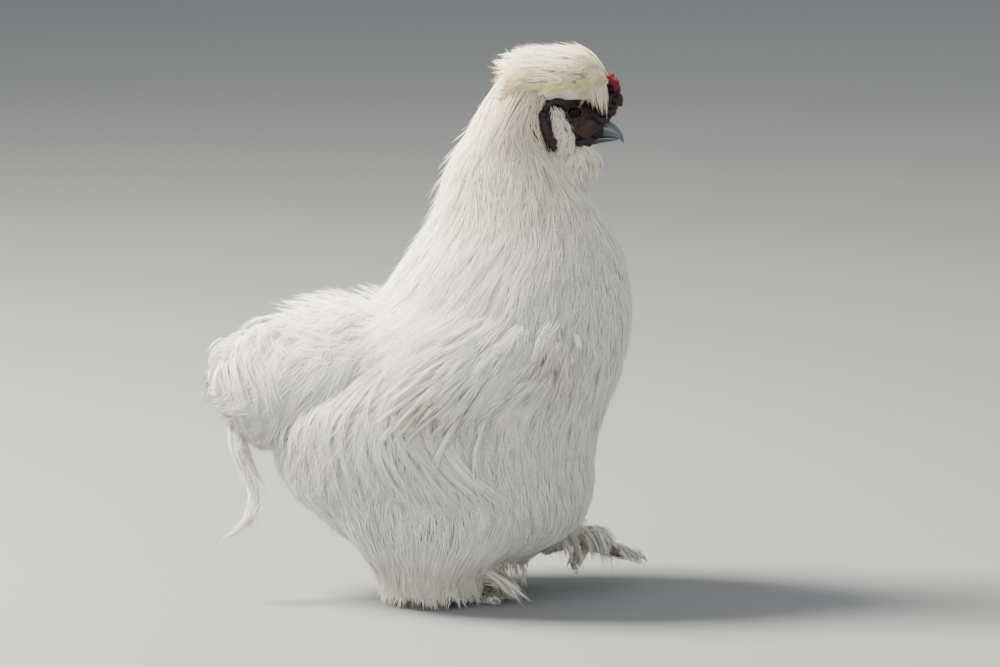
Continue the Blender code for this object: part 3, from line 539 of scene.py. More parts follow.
# Eyes
# A wet dark brown eye with a black pupil, under a clear domed cornea.
# Each is a smooth ball with a slight dome, sunk behind the rim of the lids.
# Wet eye: smooth as glass, so it shows one small clear glint. Each stop has its place and colour
EYE_STOPS = ((0.36, "#040303"), (0.46, "#1C0E09"), (0.82, "#0C0706"))
for name, side in SIDES.items():
    centre = (Vector(EYE[name]) + Vector(SHIFT)) * 0.001
    pupil = tuple(centre + Vector((0.0004, side * 0.0058, 0.0002)))
    wet, tree, shader = new_material(f"wet_eye_{name}")
    spot = add(tree, "ShaderNodeTexCoord").outputs["Object"]
    away = add(tree, "ShaderNodeVectorMath", {"operation": "DISTANCE"}, _0=spot, _1=pupil)
    share = add(tree, "ShaderNodeMath", {"operation": "DIVIDE"}, _0=away.outputs["Value"], _1=0.006)
    ramp = add(tree, "ShaderNodeValToRGB", _0=share.outputs[0])
    stops = ramp.color_ramp.elements
    for k, (place, shade) in enumerate(EYE_STOPS):
        stop = stops[k] if k < 2 else stops.new(place)
        stop.position = place
        stop.color = painted(shade)
    tree.links.new(ramp.outputs["Color"], shader.inputs["Base Color"])
    shader.inputs["Roughness"].default_value = 0.08
    shader.inputs["IOR"].default_value = 1.34
    shader.inputs["Specular IOR Level"].default_value = 0.15
    shader.inputs["Coat Weight"].default_value = 0.08
    shader.inputs["Coat Roughness"].default_value = 0.02
    bm = bmesh.new()
    add_ball(bm, EYE[name], (5.45, 5.45, 5.45), 0, 40, 28)
    for vert in bm.verts:
        spoke = (vert.co - centre).normalized()
        dome = max(side * spoke.y - 0.80, 0) / 0.20
        vert.co += spoke * 0.00045 * dome
    eye = built(f"eye_ball_{name}", bm, wet)
    eye.data.shade_smooth()
    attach(eye, "root")
    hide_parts(f"eye_{name}")


# Comb, earlobes and wattles
# A walnut comb of rounded fleshy bulbs, bright red at its crown and dark wine below it.
# The lobes are long, dark and creased, and the wattles are small round folds by the chin.
# Comb and lobe skin: thicker and smoother than the face, so each bulb takes a soft shine
CROWN = (((134, 3, 373), 11, 0.95), ((141, 5, 356), 4.5, 0.35))
LOBE = (((87, 22, 340), 7, 0.5),)
comb_skin = skin_material("wine_comb_skin", "#12060A", "#2A0D11", "#8E0A08", CROWN, 0.38, 1100.0, 0.5)
lobe_skin = skin_material("maroon_lobe_skin", "#10080A", "#260F15", "#3C1419", LOBE, 0.5, 1300.0, 0.6)
# The bulbs of the comb, from its foot to its crown: place and size
BULBS = (
    (126.5, 0.0, 341.0, 4.2), (124.0, -5.6, 343.0, 3.9), (124.0, 5.6, 343.0, 3.9), (131.0, -3.2, 348.5, 4.2),
    (131.0, 3.2, 348.5, 4.2), (126.0, -7.4, 351.0, 3.6), (126.0, 7.4, 351.0, 3.6), (135.4, -3.0, 356.6, 4.7),
    (135.4, 3.0, 356.6, 4.7), (129.0, -8.2, 358.6, 3.8), (129.0, 8.2, 358.6, 3.8), (134.0, -2.4, 364.4, 4.4),
    (134.0, 2.6, 364.8, 4.4), (133.4, -4.2, 368.4, 3.8), (133.4, 4.2, 368.4, 3.8), (129.4, -6.2, 370.6, 3.9),
    (129.4, 6.2, 370.6, 3.9), (130.6, 0.0, 372.0, 3.8),
)
COMB_LINE = ((125, 0, 343), (130, 0, 350), (132.4, 0, 358), (131.6, 0, 366), (129, 0, 373))
LOBE_LINE = (
    (81.2, 22.4, 351.0), (83.4, 23.2, 344.0), (85.6, 23.4, 336.5), (88.6, 22.8, 328.5), (91.6, 21.2, 322.0),
)
wobble = np.random.default_rng(11)
bm = bmesh.new()
add_ball(bm, (123, 0, 354), (8.0, 7.4, 17), -8)
add_tube(bm, COMB_LINE, (4.6, 5.4, 5.6, 5.0, 4.4), 16, 30)
for x, y, z, size in BULBS:
    centre = np.array((x, y, z))
    add_ball(bm, centre, (size, size, size * 0.92), 12 * wobble.uniform(-1, 1), 20, 14)
    for k in range(6):
        bud = wobble.normal(size=3)
        bud[0] = abs(bud[0])
        bud /= np.linalg.norm(bud)
        small = size * wobble.uniform(0.28, 0.46)
        add_ball(bm, centre + bud * size * 0.78, (small, small, small), 0, 12, 8)
comb = fused("walnut_comb", bm, 0.55, 1)
comb.data.materials.append(comb_skin)
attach(comb, "root")
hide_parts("comb")
for name, side in SIDES.items():
    bm = bmesh.new()
    add_tube(bm, mirrored(LOBE_LINE, side), (1.6, 3.0, 3.4, 2.6, 1.2), 16, 30)
    for k in range(16):
        t = (k + 0.5) / 16
        place = (81.2 + 10.6 * t + wobble.uniform(-1.4, 1.4), side * (25.4 - 1.8 * t), 350.0 - 26 * t)
        sizes = (2.0 + wobble.uniform(-0.4, 0.6), 1.3, 1.0 + wobble.uniform(-0.2, 0.5))
        add_ball(bm, place, sizes, -30 + wobble.uniform(-20, 20), 14, 10)
    earlobe = fused(f"creased_earlobe_{name}", bm, 0.45, 2)
    earlobe.data.materials.append(lobe_skin)
    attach(earlobe, "root")
    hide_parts(f"earlobe_{name}")
    bm = bmesh.new()
    add_ball(bm, (111, side * 10.4, 328.2), (8.4, 3.2, 3.8), -6)
    add_ball(bm, (113.5, side * 9.6, 326.4), (4.6, 2.8, 3.0), 0)
    add_ball(bm, (106.6, side * 11.6, 327.2), (4.0, 2.7, 2.8), 0)
    for k in range(3):
        fold = (
            (103.5 + 1.5 * k, 13.4, 330.0 - 1.4 * k),
            (110, 13.6, 328.4 - 1.7 * k),
            (117 - 1.6 * k, 11.4, 329.4 - 1.6 * k),
        )
        add_tube(bm, mirrored(fold, side), (0.5, 0.9, 0.5), 8, 12)
    wattle = fused(f"folded_wattle_{name}", bm, 0.45, 2)
    wattle.data.materials.append(lobe_skin)
    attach(wattle, "root")
    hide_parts(f"wattle_{name}")


# Beak
# Slate blue horn, paler towards the hooked tip, in an upper and a lower half.
# Each half is drawn out through smooth rings, and a nostril is cut into each side of the upper half.
UPPER_ROWS = (
    (117, 330.4, 346.4, 7.6), (121, 330.8, 345.6, 6.9), (126, 330.9, 343.9, 6.1), (130, 330.8, 342.0, 5.3),
    (134, 330.2, 339.4, 4.2), (137.4, 328.6, 336.0, 2.9), (139.6, 326.8, 332.6, 1.6),
    (140.5, 325.9, 329.6, 0.7),
)
LOWER_ROWS = (
    (117, 324.6, 330.9, 6.2), (122, 325.2, 330.9, 5.4), (128, 326.2, 330.7, 4.4), (133, 327.2, 330.4, 3.1),
    (136.6, 328.2, 329.8, 1.2),
)
# Horn: a dense satin sheath with fine streaks along it, paler where it thins at the tip
horn, tree, shader = new_material("slate_beak_horn")
spot = add(tree, "ShaderNodeTexCoord").outputs["Object"]
axes = add(tree, "ShaderNodeSeparateXYZ", _0=spot)
paler = add(tree, "ShaderNodeMapRange", _0=axes.outputs["X"], _1=0.117, _2=0.138).outputs[0]
grain = add(tree, "ShaderNodeMapping", _0=spot, Scale=(160.0, 1500.0, 1500.0))
streaks = add(tree, "ShaderNodeTexNoise", _0=grain.outputs[0], Scale=1.0, Detail=3.0)
base = add(tree, "ShaderNodeMix", RGBA, _0=paler, _6=painted("#1B1E23"), _7=painted("#565C66")).outputs[2]
blend = {"data_type": "RGBA", "blend_type": "MULTIPLY"}
streaked = add(tree, "ShaderNodeMix", blend, _0=0.45, _6=base, _7=streaks.outputs["Color"])
relief = add(tree, "ShaderNodeBump", Height=streaks.outputs["Fac"], Distance=0.0002, Strength=0.5)
tree.links.new(streaked.outputs[2], shader.inputs["Base Color"])
tree.links.new(relief.outputs["Normal"], shader.inputs["Normal"])
shader.inputs["Roughness"].default_value = 0.32
shader.inputs["IOR"].default_value = 1.54
shader.inputs["Coat Weight"].default_value = 0.25


def beak_half(name, rows, flat, node):
    """One half of the beak, round with one flat side: below on the upper half, above on the lower."""
    read = curve_through(rows)
    rings = []
    for place in np.linspace(rows[0][0], rows[-1][0], 26):
        low, high, half = read(place)[0]
        ring = []
        for a in np.linspace(0, math.tau, 36, endpoint=False):
            rise = math.cos(a)
            if flat:
                rise = max(rise, -0.62) if rise < 0 else rise
                level = low + (high - low) * (rise + 0.62) / 1.62
            else:
                level = low + (high - low) * (min(rise, 0.5) + 1) / 1.5
            ring.append((place, half * math.sin(a) * (1 - 0.18 * max(rise, 0) ** 2), level))
        rings.append(ring)
    bm = bmesh.new()
    ring_loft(bm, rings)
    half = fused(name, bm, 0.42, 2)
    half.data.materials.append(horn)
    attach(half, "root")
    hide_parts(node)
    return half


upper = beak_half("horn_beak_upper", UPPER_ROWS, True, "beak_upper")
beak_half("horn_beak_lower", LOWER_ROWS, False, "beak_lower")
nostrils = bmesh.new()
for side in SIDES.values():
    add_ball(nostrils, (127.4, side * 5.9, 338.4), (2.3, 1.5, 0.75), 16)
carve(upper, nostrils, horn)


# Feet and claws
# Lead grey feet with five toes and cross scales on top.
# Each foot is one skin over bones and scales, and each claw is a curved cone of horn.
# Foot skin: dry, lead grey and scaled. Claw horn: smooth and cloudy, with a slight gloss
scales = skin_material("scaled_foot_skin", "#3A3734", "#6C665F", "#7A746C", (), 0.55, 1400.0, 0.3)
claw_horn, tree, shader = new_material("pale_claw_horn")
spot = add(tree, "ShaderNodeTexCoord").outputs["Object"]
cloudy = add(tree, "ShaderNodeTexNoise", _0=spot, Scale=300.0, Detail=3.0).outputs["Fac"]
pale = add(tree, "ShaderNodeMix", RGBA, _0=cloudy, _6=painted("#85827D"), _7=painted("#C9C4B9"))
tree.links.new(pale.outputs[2], shader.inputs["Base Color"])
shader.inputs["Roughness"].default_value = 0.3
shader.inputs["IOR"].default_value = 1.54
# Each toe's heading, length, and droop when the foot is lifted, in degrees and millimetres
TOES = {
    "inner": (36, 30, 14),
    "middle": (2, 40, 18),
    "outer": (-34, 32, 22),
    "hind": (170, 18, 62),
    "fifth": (128, 15, 44),
}
MIDDLES = {"right": (22, -12, 3.4), "left": (116, 36, 34)}
CLAW_LENGTH = 7.2
toe_lines = {}
for name, side in SIDES.items():
    middle = Vector(MIDDLES[name])
    feet = bmesh.new()
    claws = bmesh.new()
    add_ball(feet, middle + Vector((0, 0, 0.6)), (8, 7, 4.0 if name == "right" else 6.0))
    for toe, (heading, length, droop) in TOES.items():
        pitch = math.radians(droop if name == "left" else 0)
        turn = Matrix.Rotation(math.radians(-side * heading), 3, "Z")
        away = turn @ Vector((math.cos(pitch), 0, -math.sin(pitch)))
        level = turn @ Vector((math.sin(pitch), 0, math.cos(pitch)))
        joints = 4 if length > 25 else 3
        line, radii = [], []
        for k in range(joints * 4 + 1):
            t = k / (joints * 4)
            line.append(middle + away * length * t + level * (0.9 * math.sin(math.pi * t) ** 2))
            radii.append((3.7 - 1.1 * t) * (1 + 0.07 * math.cos(math.tau * joints * t)))
        add_tube(feet, line, radii, 14, joints * 12)
        toe_lines[name, toe] = (middle.copy(), away.copy(), level.copy(), length)
        count = int(length / 2.0)
        for k in range(count):
            t = (k + 0.6) / count
            spot_on = middle + away * length * t + level * (1.5 + 0.9 * math.sin(math.pi * t) ** 2)
            size = 2.9 - 1.0 * t
            plate = bmesh.ops.create_uvsphere(feet, u_segments=12, v_segments=8, radius=1)
            basis = Matrix((away, level.cross(away), level)).transposed().to_4x4()
            lean = Matrix.Rotation(math.radians(14), 4, "Y")
            sized = Matrix.Diagonal((0.0013, size * 0.001, size * 0.00062, 1))
            place = Matrix.Translation((spot_on + Vector(SHIFT)) * 0.001)
            bmesh.ops.transform(feet, matrix=place @ basis @ lean @ sized, verts=plate["verts"])
        tip = middle + away * (length - 1.0)
        line = []
        for k in range(7):
            t = k / 6
            curl = 0.7 + 0.9 * math.sin(math.pi * t) - 2.2 * t * t
            line.append(tip + away * CLAW_LENGTH * t + level * curl)
        add_tube(claws, line, (1.7, 1.75, 1.6, 1.35, 1.05, 0.7, 0.3), 12, 18)
    if name == "right":
        for vert in [*feet.verts, *claws.verts]:
            vert.co.z = max(vert.co.z, 0.0003)
    foot = fused(f"scaled_foot_{name}", feet, 0.5, 1)
    foot.data.materials.append(scales)
    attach(foot, "root")
    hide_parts(f"foot_{name}")
    bmesh.ops.recalc_face_normals(claws, faces=claws.faces)
    claw = built(f"horn_claws_{name}", claws, claw_horn)
    claw.data.shade_smooth()
    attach(claw, "root")
    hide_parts(*[f"claw_{name}_{toe}" for toe in TOES])


# Plumage of the neck
# Silkie feathers have no hooks, so each is a soft plume of loose barbs on a thin shaft.
# Every barb is a closed, tapered strand, and lets some light through like real white down.
# Barbs: fine and silky, so they are soft all over, sheen at their edges and glow when lit behind
silk, tree, shader = new_material("loose_silky_barbs")
colour = plumage_colour(tree)
tree.links.new(colour, shader.inputs["Base Color"])
shader.inputs["Roughness"].default_value = 0.6
shader.inputs["Specular IOR Level"].default_value = 0.3
shader.inputs["Sheen Weight"].default_value = 0.2
shader.inputs["Sheen Roughness"].default_value = 0.5
thin = add(tree, "ShaderNodeBsdfTranslucent", _0=colour)
lit = add(tree, "ShaderNodeMixShader", _0=0.25, _1=shader.outputs[0], _2=thin.outputs[0])
tree.links.new(lit.outputs[0], tree.nodes["Material Output"].inputs["Surface"])

chance = np.random.default_rng(23)
PATCH = 0.003


def unit(vectors):
    """Vectors brought to a length of one."""
    return vectors / (np.linalg.norm(vectors, axis=-1, keepdims=True) + 1e-9)


def strands_mesh(stations, outs, wide, deep, sides, tone, marks, patches, soft):
    """Closed tapered strands from arrays: stations is (strands, points, 3) in millimetres."""
    count, points, _ = stations.shape
    rings = points - 1
    way = np.empty_like(stations)
    way[:, 1:-1] = stations[:, 2:] - stations[:, :-2]
    way[:, 0] = stations[:, 1] - stations[:, 0]
    way[:, -1] = stations[:, -1] - stations[:, -2]
    way = unit(way)
    side = unit(np.cross(way, outs))
    out = np.cross(side, way)
    if sides == 3:
        corners = ((0.5, -0.3), (-0.5, -0.3), (0.0, 0.7))
    else:
        corners = ((0.5, 0.0), (0.0, 0.5), (-0.5, 0.0), (0.0, -0.5))
    size = rings * sides + 1
    verts = np.empty((count, size, 3))
    normals = np.empty((count, size, 3))
    uvs = np.empty((count, size, 2))
    for k in range(rings):
        for j, (across, up) in enumerate(corners):
            at = k * sides + j
            verts[:, at] = stations[:, k] + side[:, k] * (across * wide[:, k])[:, None]
            verts[:, at] += out[:, k] * (up * deep[:, k])[:, None]
            own = unit(side[:, k] * across * 1.6 + out[:, k] * up)
            normals[:, at] = soft * outs[:, k] + (1 - soft) * own
            uvs[:, at] = ((j + 0.5) / sides - 0.5, k / rings - 0.5)
    verts[:, -1] = stations[:, -1]
    normals[:, -1] = out[:, -1]
    uvs[:, -1] = (0.0, 0.5)
    verts[..., 2] = np.maximum(verts[..., 2], 0.35)
    faces = []
    for k in range(rings - 1):
        for j in range(sides):
            a, b = k * sides + j, k * sides + (j + 1) % sides
            c, d = b + sides, a + sides
            faces += [(a, b, c), (a, c, d)]
    for j in range(sides):
        faces.append(((rings - 1) * sides + j, (rings - 1) * sides + (j + 1) % sides, rings * sides))
    faces += [(0, j + 1, j) for j in range(1, sides - 1)]
    faces = np.array(faces)
    index = (faces[None] + (np.arange(count) * size)[:, None, None]).reshape(-1)
    uv = (patches[:, None, :] + uvs * PATCH).reshape(-1, 2)[index]
    return {
        "verts": ((verts + SHIFT) * 0.001).reshape(-1, 3),
        "normals": unit(normals).reshape(-1, 3),
        "index": index,
        "uv": uv,
        "tone": np.repeat(tone, size),
        "cream": np.repeat(marks[0], size),
        "tan": np.repeat(marks[1], size),
    }


def coat_piece(name, parts):
    """One coat piece from sets of strands, with its OFBake map, riding on the bird."""
    index, start = [], 0
    for part in parts:
        index.append(part["index"] + start)
        start += len(part["verts"])
    verts = np.concatenate([part["verts"] for part in parts]).astype(np.float32)
    normals = np.concatenate([part["normals"] for part in parts]).astype(np.float32)
    index = np.concatenate(index).astype(np.int32)
    uv = np.concatenate([part["uv"] for part in parts]).astype(np.float32)
    mesh = bpy.data.meshes.new(name)
    mesh.vertices.add(len(verts))
    mesh.vertices.foreach_set("co", verts.ravel())
    mesh.loops.add(len(index))
    mesh.loops.foreach_set("vertex_index", index)
    total = len(index) // 3
    mesh.polygons.add(total)
    mesh.polygons.foreach_set("loop_start", np.arange(0, total * 3, 3, dtype=np.int32))
    mesh.polygons.foreach_set("loop_total", np.full(total, 3, dtype=np.int32))
    layer = mesh.uv_layers.new(name="OFBake")
    layer.data.foreach_set("uv", uv.ravel())
    mesh.update(calc_edges=True)
    mesh.polygons.foreach_set("use_smooth", np.ones(total, dtype=bool))
    mesh.normals_split_custom_set_from_vertices(normals)
    set_markings(mesh, *[np.concatenate([part[k] for part in parts]) for k in ("tone", "cream", "tan")])
    coat = linked(name, mesh, silk)
    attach(coat, "root")
    return coat


def roots(where, places, spacing, reach=math.pi):
    """Staggered roots on a form, in rows at places, about spacing apart, and their points."""
    found = []
    for row, place in enumerate(places):
        turns = np.linspace(-math.pi, math.pi, 73)
        ring = where(np.full(73, float(place)), turns)
        around = np.linalg.norm(np.diff(ring, axis=0), axis=1).sum()
        count = max(4, int(around / spacing * reach / math.pi))
        for k in range(count):
            turn = reach * (2 * (k + 0.5 * (row % 2) + 0.25) / count - 1)
            found.append((place, turn))
    found = np.array(found)
    jitter = chance.uniform(-0.48, 0.48, (len(found), 2))
    mid = where(found[:, 0], found[:, 1])
    side_step = np.linalg.norm(where(found[:, 0], found[:, 1] + 0.02) - mid, axis=-1) / 0.02
    found[:, 0] += jitter[:, 0] * abs(places[1] - places[0])
    found[:, 1] += jitter[:, 1] * spacing / np.maximum(side_step, 4)
    return found, where(found[:, 0], found[:, 1])


def drift(points, size):
    """A smooth wave over the body from -1 to 1, about size millimetres from lock to lock."""
    x, y, z = np.moveaxis(points, -1, 0) * math.tau / size
    first = np.sin(0.9 * x + 1.7 * np.sin(0.6 * z + 0.4 * y))
    return (first + np.sin(0.7 * z - 1.1 * y + 2.0 * np.sin(0.5 * x))) / 2


def plumes(
    where, found, length, width, barbs, lifts, slant=0.0, bow=0.0, strand=0.4, frizz=1.0,
    vane=0.0, tone=0.6, cream=0.0, tan=1.0, window=(0.0, 1.0), droop=0.3, spread=0.16, sway=0.1, loose=0.5,
    worn_edge=False, soft=None,
):
    """Plumes of loose barbs that lie on a form from their roots. Returns barbs and vanes."""
    count = len(found)
    soft = where.soft if soft is None else soft
    place, turn = found[:, 0], found[:, 1]
    here = where(place, turn)
    length = np.broadcast_to(length, count) * chance.uniform(1 - spread, 1 + spread, count)
    width = np.broadcast_to(width, count) * chance.uniform(0.8, 1.2, count)
    slant = np.broadcast_to(slant, count) + chance.normal(0, 0.05, count) + sway * drift(here, 46)
    bow = np.broadcast_to(bow, count) + chance.normal(0, 0.05, count)
    step_up = where(place + 0.5, turn) - where(place - 0.5, turn)
    step_round = where(place, turn + 0.02) - where(place, turn - 0.02)
    per_place = np.maximum(np.linalg.norm(step_up, axis=-1), 0.3)
    per_turn = np.maximum(np.linalg.norm(step_round, axis=-1) / 0.04, 3)
    raised = loose * (chance.normal(0, 0.5, count) + 1.1 * drift(here + 70, 30))
    steps = np.linspace(0, 1, len(lifts))

    def spot(s, across):
        """Place and turn at shares s along the plumes, off their shafts by across."""
        extra = (1,) * (s.ndim - 1)
        far = s * length.reshape(-1, *extra)
        tilt = slant.reshape(-1, *extra) + bow.reshape(-1, *extra) * s
        along = far * np.cos(tilt) - across * np.sin(tilt)
        aside = far * np.sin(tilt) + across * np.cos(tilt)
        sign = np.sign(turn + 1e-9).reshape(-1, *extra)
        return (
            place.reshape(-1, *extra) + where.heading * along / per_place.reshape(-1, *extra),
            turn.reshape(-1, *extra) + sign * aside / per_turn.reshape(-1, *extra),
        )

    def on_plume(s, across, lift):
        """Points at shares s along the plumes, in millimetres."""
        height = np.interp(s, steps, lifts) + raised.reshape(-1, *(1,) * (s.ndim - 1)) * s + lift
        return where(*spot(s, across), height)

    knots = np.linspace(0, 1, 5)
    p, t = spot(np.tile(knots, (count, 1)), 0.0)
    normal = np.cross(where(p + 0.5, t) - where(p - 0.5, t), where(p, t + 0.02) - where(p, t - 0.02))
    radial = where(p, t, 1.0) - where(p, t, 0.0)
    normal *= np.where((normal * radial).sum(-1, keepdims=True) < 0, -1.0, 1.0)
    normal = unit(unit(normal) + 0.25 * unit(radial))

    def facing(s):
        """The outward direction of the form at shares s along the plumes."""
        step = np.clip(s, 0, 0.999) * 4
        k = step.astype(int)
        part = (step - k)[..., None]
        if s.ndim == 1:
            return normal[np.arange(count), k] * (1 - part) + normal[np.arange(count), k + 1] * part
        row = np.arange(count)[:, None]
        return unit(normal[row, k] * (1 - part) + normal[row, k + 1] * part)

    shape = (count, barbs)
    start = chance.uniform(0.0, 0.62, shape) ** 1.1
    run = chance.uniform(0.36, 0.58, shape)
    side = np.where(np.arange(barbs) % 2 == 0, 1.0, -1.0)[None, :] * chance.uniform(0.0, 1.15, shape)
    lift_noise = chance.normal(0, 0.5, shape) * frizz
    lift_noise += (chance.uniform(0, 1, shape) < 0.05) * chance.uniform(0.8, 3.0, shape) * frizz
    side_noise = chance.normal(0, 0.16, shape) * frizz
    stations, outs = [], []
    for u in (0.0, 0.5, 1.0):
        s = start + run * u
        opening = (0.25 + 0.75 * u**0.75) * (1.08 - 0.5 * start) * (1 - 0.25 * u * u)
        across = width[:, None] * (side * opening + side_noise * u * u)
        lift = -droop * np.abs(side) * u + lift_noise * u * u
        stations.append(on_plume(s, across, lift))
        outs.append(facing(s))
    stations = np.stack(stations, 2).reshape(count * barbs, -1, 3)
    outs = np.stack(outs, 2).reshape(count * barbs, -1, 3)
    wide = strand * chance.uniform(0.65, 1.25, count * barbs)[:, None] * np.array((1.0, 0.85, 0.0))
    low, high = where.ends
    up = window[0] + (window[1] - window[0]) * np.clip((place - low) / (high - low), 0, 1)
    patch = 0.02 + 0.96 * np.column_stack([(turn / math.tau + 0.5) % 1.0, up])
    plume_tone = np.clip(tone + chance.normal(0, 0.1, count), 0, 1)
    barb_tone = np.clip(np.repeat(plume_tone, barbs) + chance.normal(0, 0.3, count * barbs), 0, 1)
    cream_here, tan_here = markings(stations[:, 1])
    worn = np.clip(chance.uniform(-0.6, 1.4, count * barbs), 0, 1)
    if worn_edge:
        worn *= np.clip(np.abs(side).ravel() * 2.2 - 0.9, 0, 1)
    cream_here = cream_here + np.repeat(np.broadcast_to(cream, count), barbs)
    cream_here = np.clip(cream_here * chance.uniform(0.5, 1.5, count * barbs), 0, 1)
    marks = (cream_here, np.clip(tan_here * tan * worn, 0, 1))
    patches = np.repeat(patch, barbs, 0)
    made = [strands_mesh(stations, outs, wide, wide * 0.62, 3, barb_tone, marks, patches, soft)]
    if vane:
        shares = (0.0, 0.34, 0.68, 0.96)
        line = np.stack([on_plume(np.full(count, s), 0.0, -0.9) for s in shares], 1)
        outs = np.stack([facing(np.full(count, s)) for s in shares], 1)
        wide = width[:, None] * vane * np.array((0.5, 1.1, 0.8, 0.0))
        deep = np.tile(np.array((0.5, 0.5, 0.4, 0.0)), (count, 1))
        cream_here, tan_here = markings(line[:, 2])
        marks = (np.clip(cream_here + cream, 0, 1), np.clip(tan_here * tan * 0.3, 0, 1))
        made.append(strands_mesh(line, outs, wide, deep, 4, plume_tone, marks, patch, soft))
    return made


def keep(found, points, *tests):
    """The roots and their points for which no test holds."""
    gone = np.zeros(len(found), bool)
    for test in tests:
        gone |= test
    return found[~gone], points[~gone]


found, points = roots(trunk, np.arange(357, 262, -5.2), 6.0)
found, points = keep(found, points, skull.holds(points, 0.5), beard.holds(points, -2))
for k, name in enumerate(("left", "right")):
    half = (found[:, 1] > 0) == (k == 0)
    sector, place = found[half], points[half]
    front = np.clip((place[:, 0] - 84) / 26, 0, 1)
    long = np.minimum(60 - 18 * np.clip((sector[:, 0] - 290) / 70, 0, 1), (sector[:, 0] - 206) / 1.08)
    long = long * (1 - 0.25 * front)
    made = []
    low_row = sector[:, 0] < 292
    tiers = (
        ((front < 0.5) & low_row, (-5, -1.2, 1.0, 3.2, 4.8)),
        ((front < 0.5) & ~low_row, (-5, -1.4, 0.2, 1.4, 2.2)),
        (front >= 0.5, (-4, -1.2, 0.0, 0.5, 0.9)),
    )
    for chosen, lifts in tiers:
        made += plumes(
            trunk, sector[chosen], long[chosen], 4.6, 25, lifts, slant=0.04, bow=0.06, tone=0.72,
            cream=0.05, sway=0.16, loose=0.8,
        )
    coat_piece(f"hackle_{name}", made)


# Plumage of the body
# Shorter, rounder fluff covers the breast, flanks and belly and lies down and back.
# On the rear flank the plumes fan out: back at the top, down below, a little forward in front.
def flank_turn(x, z):
    """The turn round the body of a place on its side, seen from the side."""
    rear, front = np.moveaxis(curve_through(TORSO_ROWS)(z)[0], -1, 0)[:2]
    return np.arccos(np.clip((x - (rear + front) / 2) / ((front - rear) / 2), -1, 1))


# The folded wing on the flank: height, and its rear and front edge
WING_ROWS = ((132, 30, 72), (146, 14, 92), (164, 8, 104), (184, 20, 106), (198, 38, 98), (207, 56, 84))


def on_wing(points, margin):
    """Whether places on the flank lie under a folded wing."""
    edges, beyond = curve_through(WING_ROWS)(points[:, 2])
    inside = (points[:, 0] > edges[:, 0] - margin) & (points[:, 0] < edges[:, 1] + margin)
    return inside & (points[:, 2] > 150) & (np.abs(beyond) <= 0.01) & (np.abs(points[:, 1]) > 50)


found, points = roots(trunk, np.arange(262, 33, -7.4), 8.2)
seated = [saddle.holds(points, -4), tail.holds(points, -4), on_wing(points, -15)]
seated += [thighs[side].holds(points, -9) for side in thighs]
found, points = keep(found, points, *seated)
rear = np.clip((10 - points[:, 0]) / 95, 0, 1)
high = np.clip((points[:, 2] - 84) / 60, 0, 1)
lower_flank = np.exp(-(((points[:, 0] - 8) / 40) ** 2)) * np.clip((130 - points[:, 2]) / 60, 0, 1)
fan = 1.0 * rear * high - 0.22 * lower_flank + 0.05
body_slant = np.where(np.abs(points[:, 1]) > 8, fan, 0.0)
body_length = 33 + 14 * rear + 8 * np.clip((70 - points[:, 2]) / 40, 0, 1)
smooth = points[:, 0] > 44
for k, name in enumerate(("left_rear", "left_front", "right_front", "right_rear")):
    sector = np.floor(found[:, 1] / (math.pi / 2)).astype(int) == (1, 0, -1, -2)[k]
    made = []
    for chosen, loose in ((sector & smooth, 0.25), (sector & ~smooth, 0.7)):
        if chosen.any():
            made += plumes(
                trunk, found[chosen], body_length[chosen], 7.0, 20, (-5, -1.4, 0.0, 0.9, 1.6), bow=-0.12,
                slant=body_slant[chosen], strand=0.42, frizz=0.7 + loose, tone=0.66, tan=0.7, loose=loose,
            )
    coat_piece(f"body_plumes_{name}", made)

# Fine loose wisps stand off the whole body and neck, and soften its outline
found, points = roots(trunk, np.arange(350, 38, -9.4), 10.0)
near = ((saddle, 4), (tail, 4), (skull, 6), (beard, 2))
spared = [where.holds(points, gap) for where, gap in near]
found, points = keep(found, points, *spared)
wild = np.clip((20 - points[:, 0]) / 80, 0, 1) + 0.7 * np.clip((points[:, 2] - 240) / 80, 0, 1)
wild[points[:, 0] > 90] = 0.1
made = []
for chosen, rise in ((wild > 0.35, 8.0), (wild <= 0.35, 3.6)):
    made += plumes(
        trunk, found[chosen], 32.0, 4.0, 6, (-2, 0.4, 0.42 * rise, rise), strand=0.26, frizz=1.6, tone=0.9,
        tan=0.4, slant=0.35 * wild[chosen], sway=0.4, loose=1.2,
    )
coat_piece("loose_wisps", made)

# Long loose saddle hackles hang down the flank behind each wing
made = []
for side in SIDES.values():
    for k in range(84):
        t = (k + chance.uniform(0, 1)) / 84
        z = 186 - 18 * t + chance.uniform(-26, 14)
        x = -84 + 100 * t
        root = np.array([(z, side * flank_turn(x, z))])
        slant = 0.85 - 1.05 * t + chance.normal(0, 0.1)
        made += plumes(
            trunk, root, 54 + 44 * t, 3.2, 24, (-3, 0.8, 1.8, 2.4, 3.4, 5.4), slant=slant, bow=-0.3,
            strand=0.36, frizz=0.8, tone=0.88,
        )
coat_piece("flank_hackles", made)


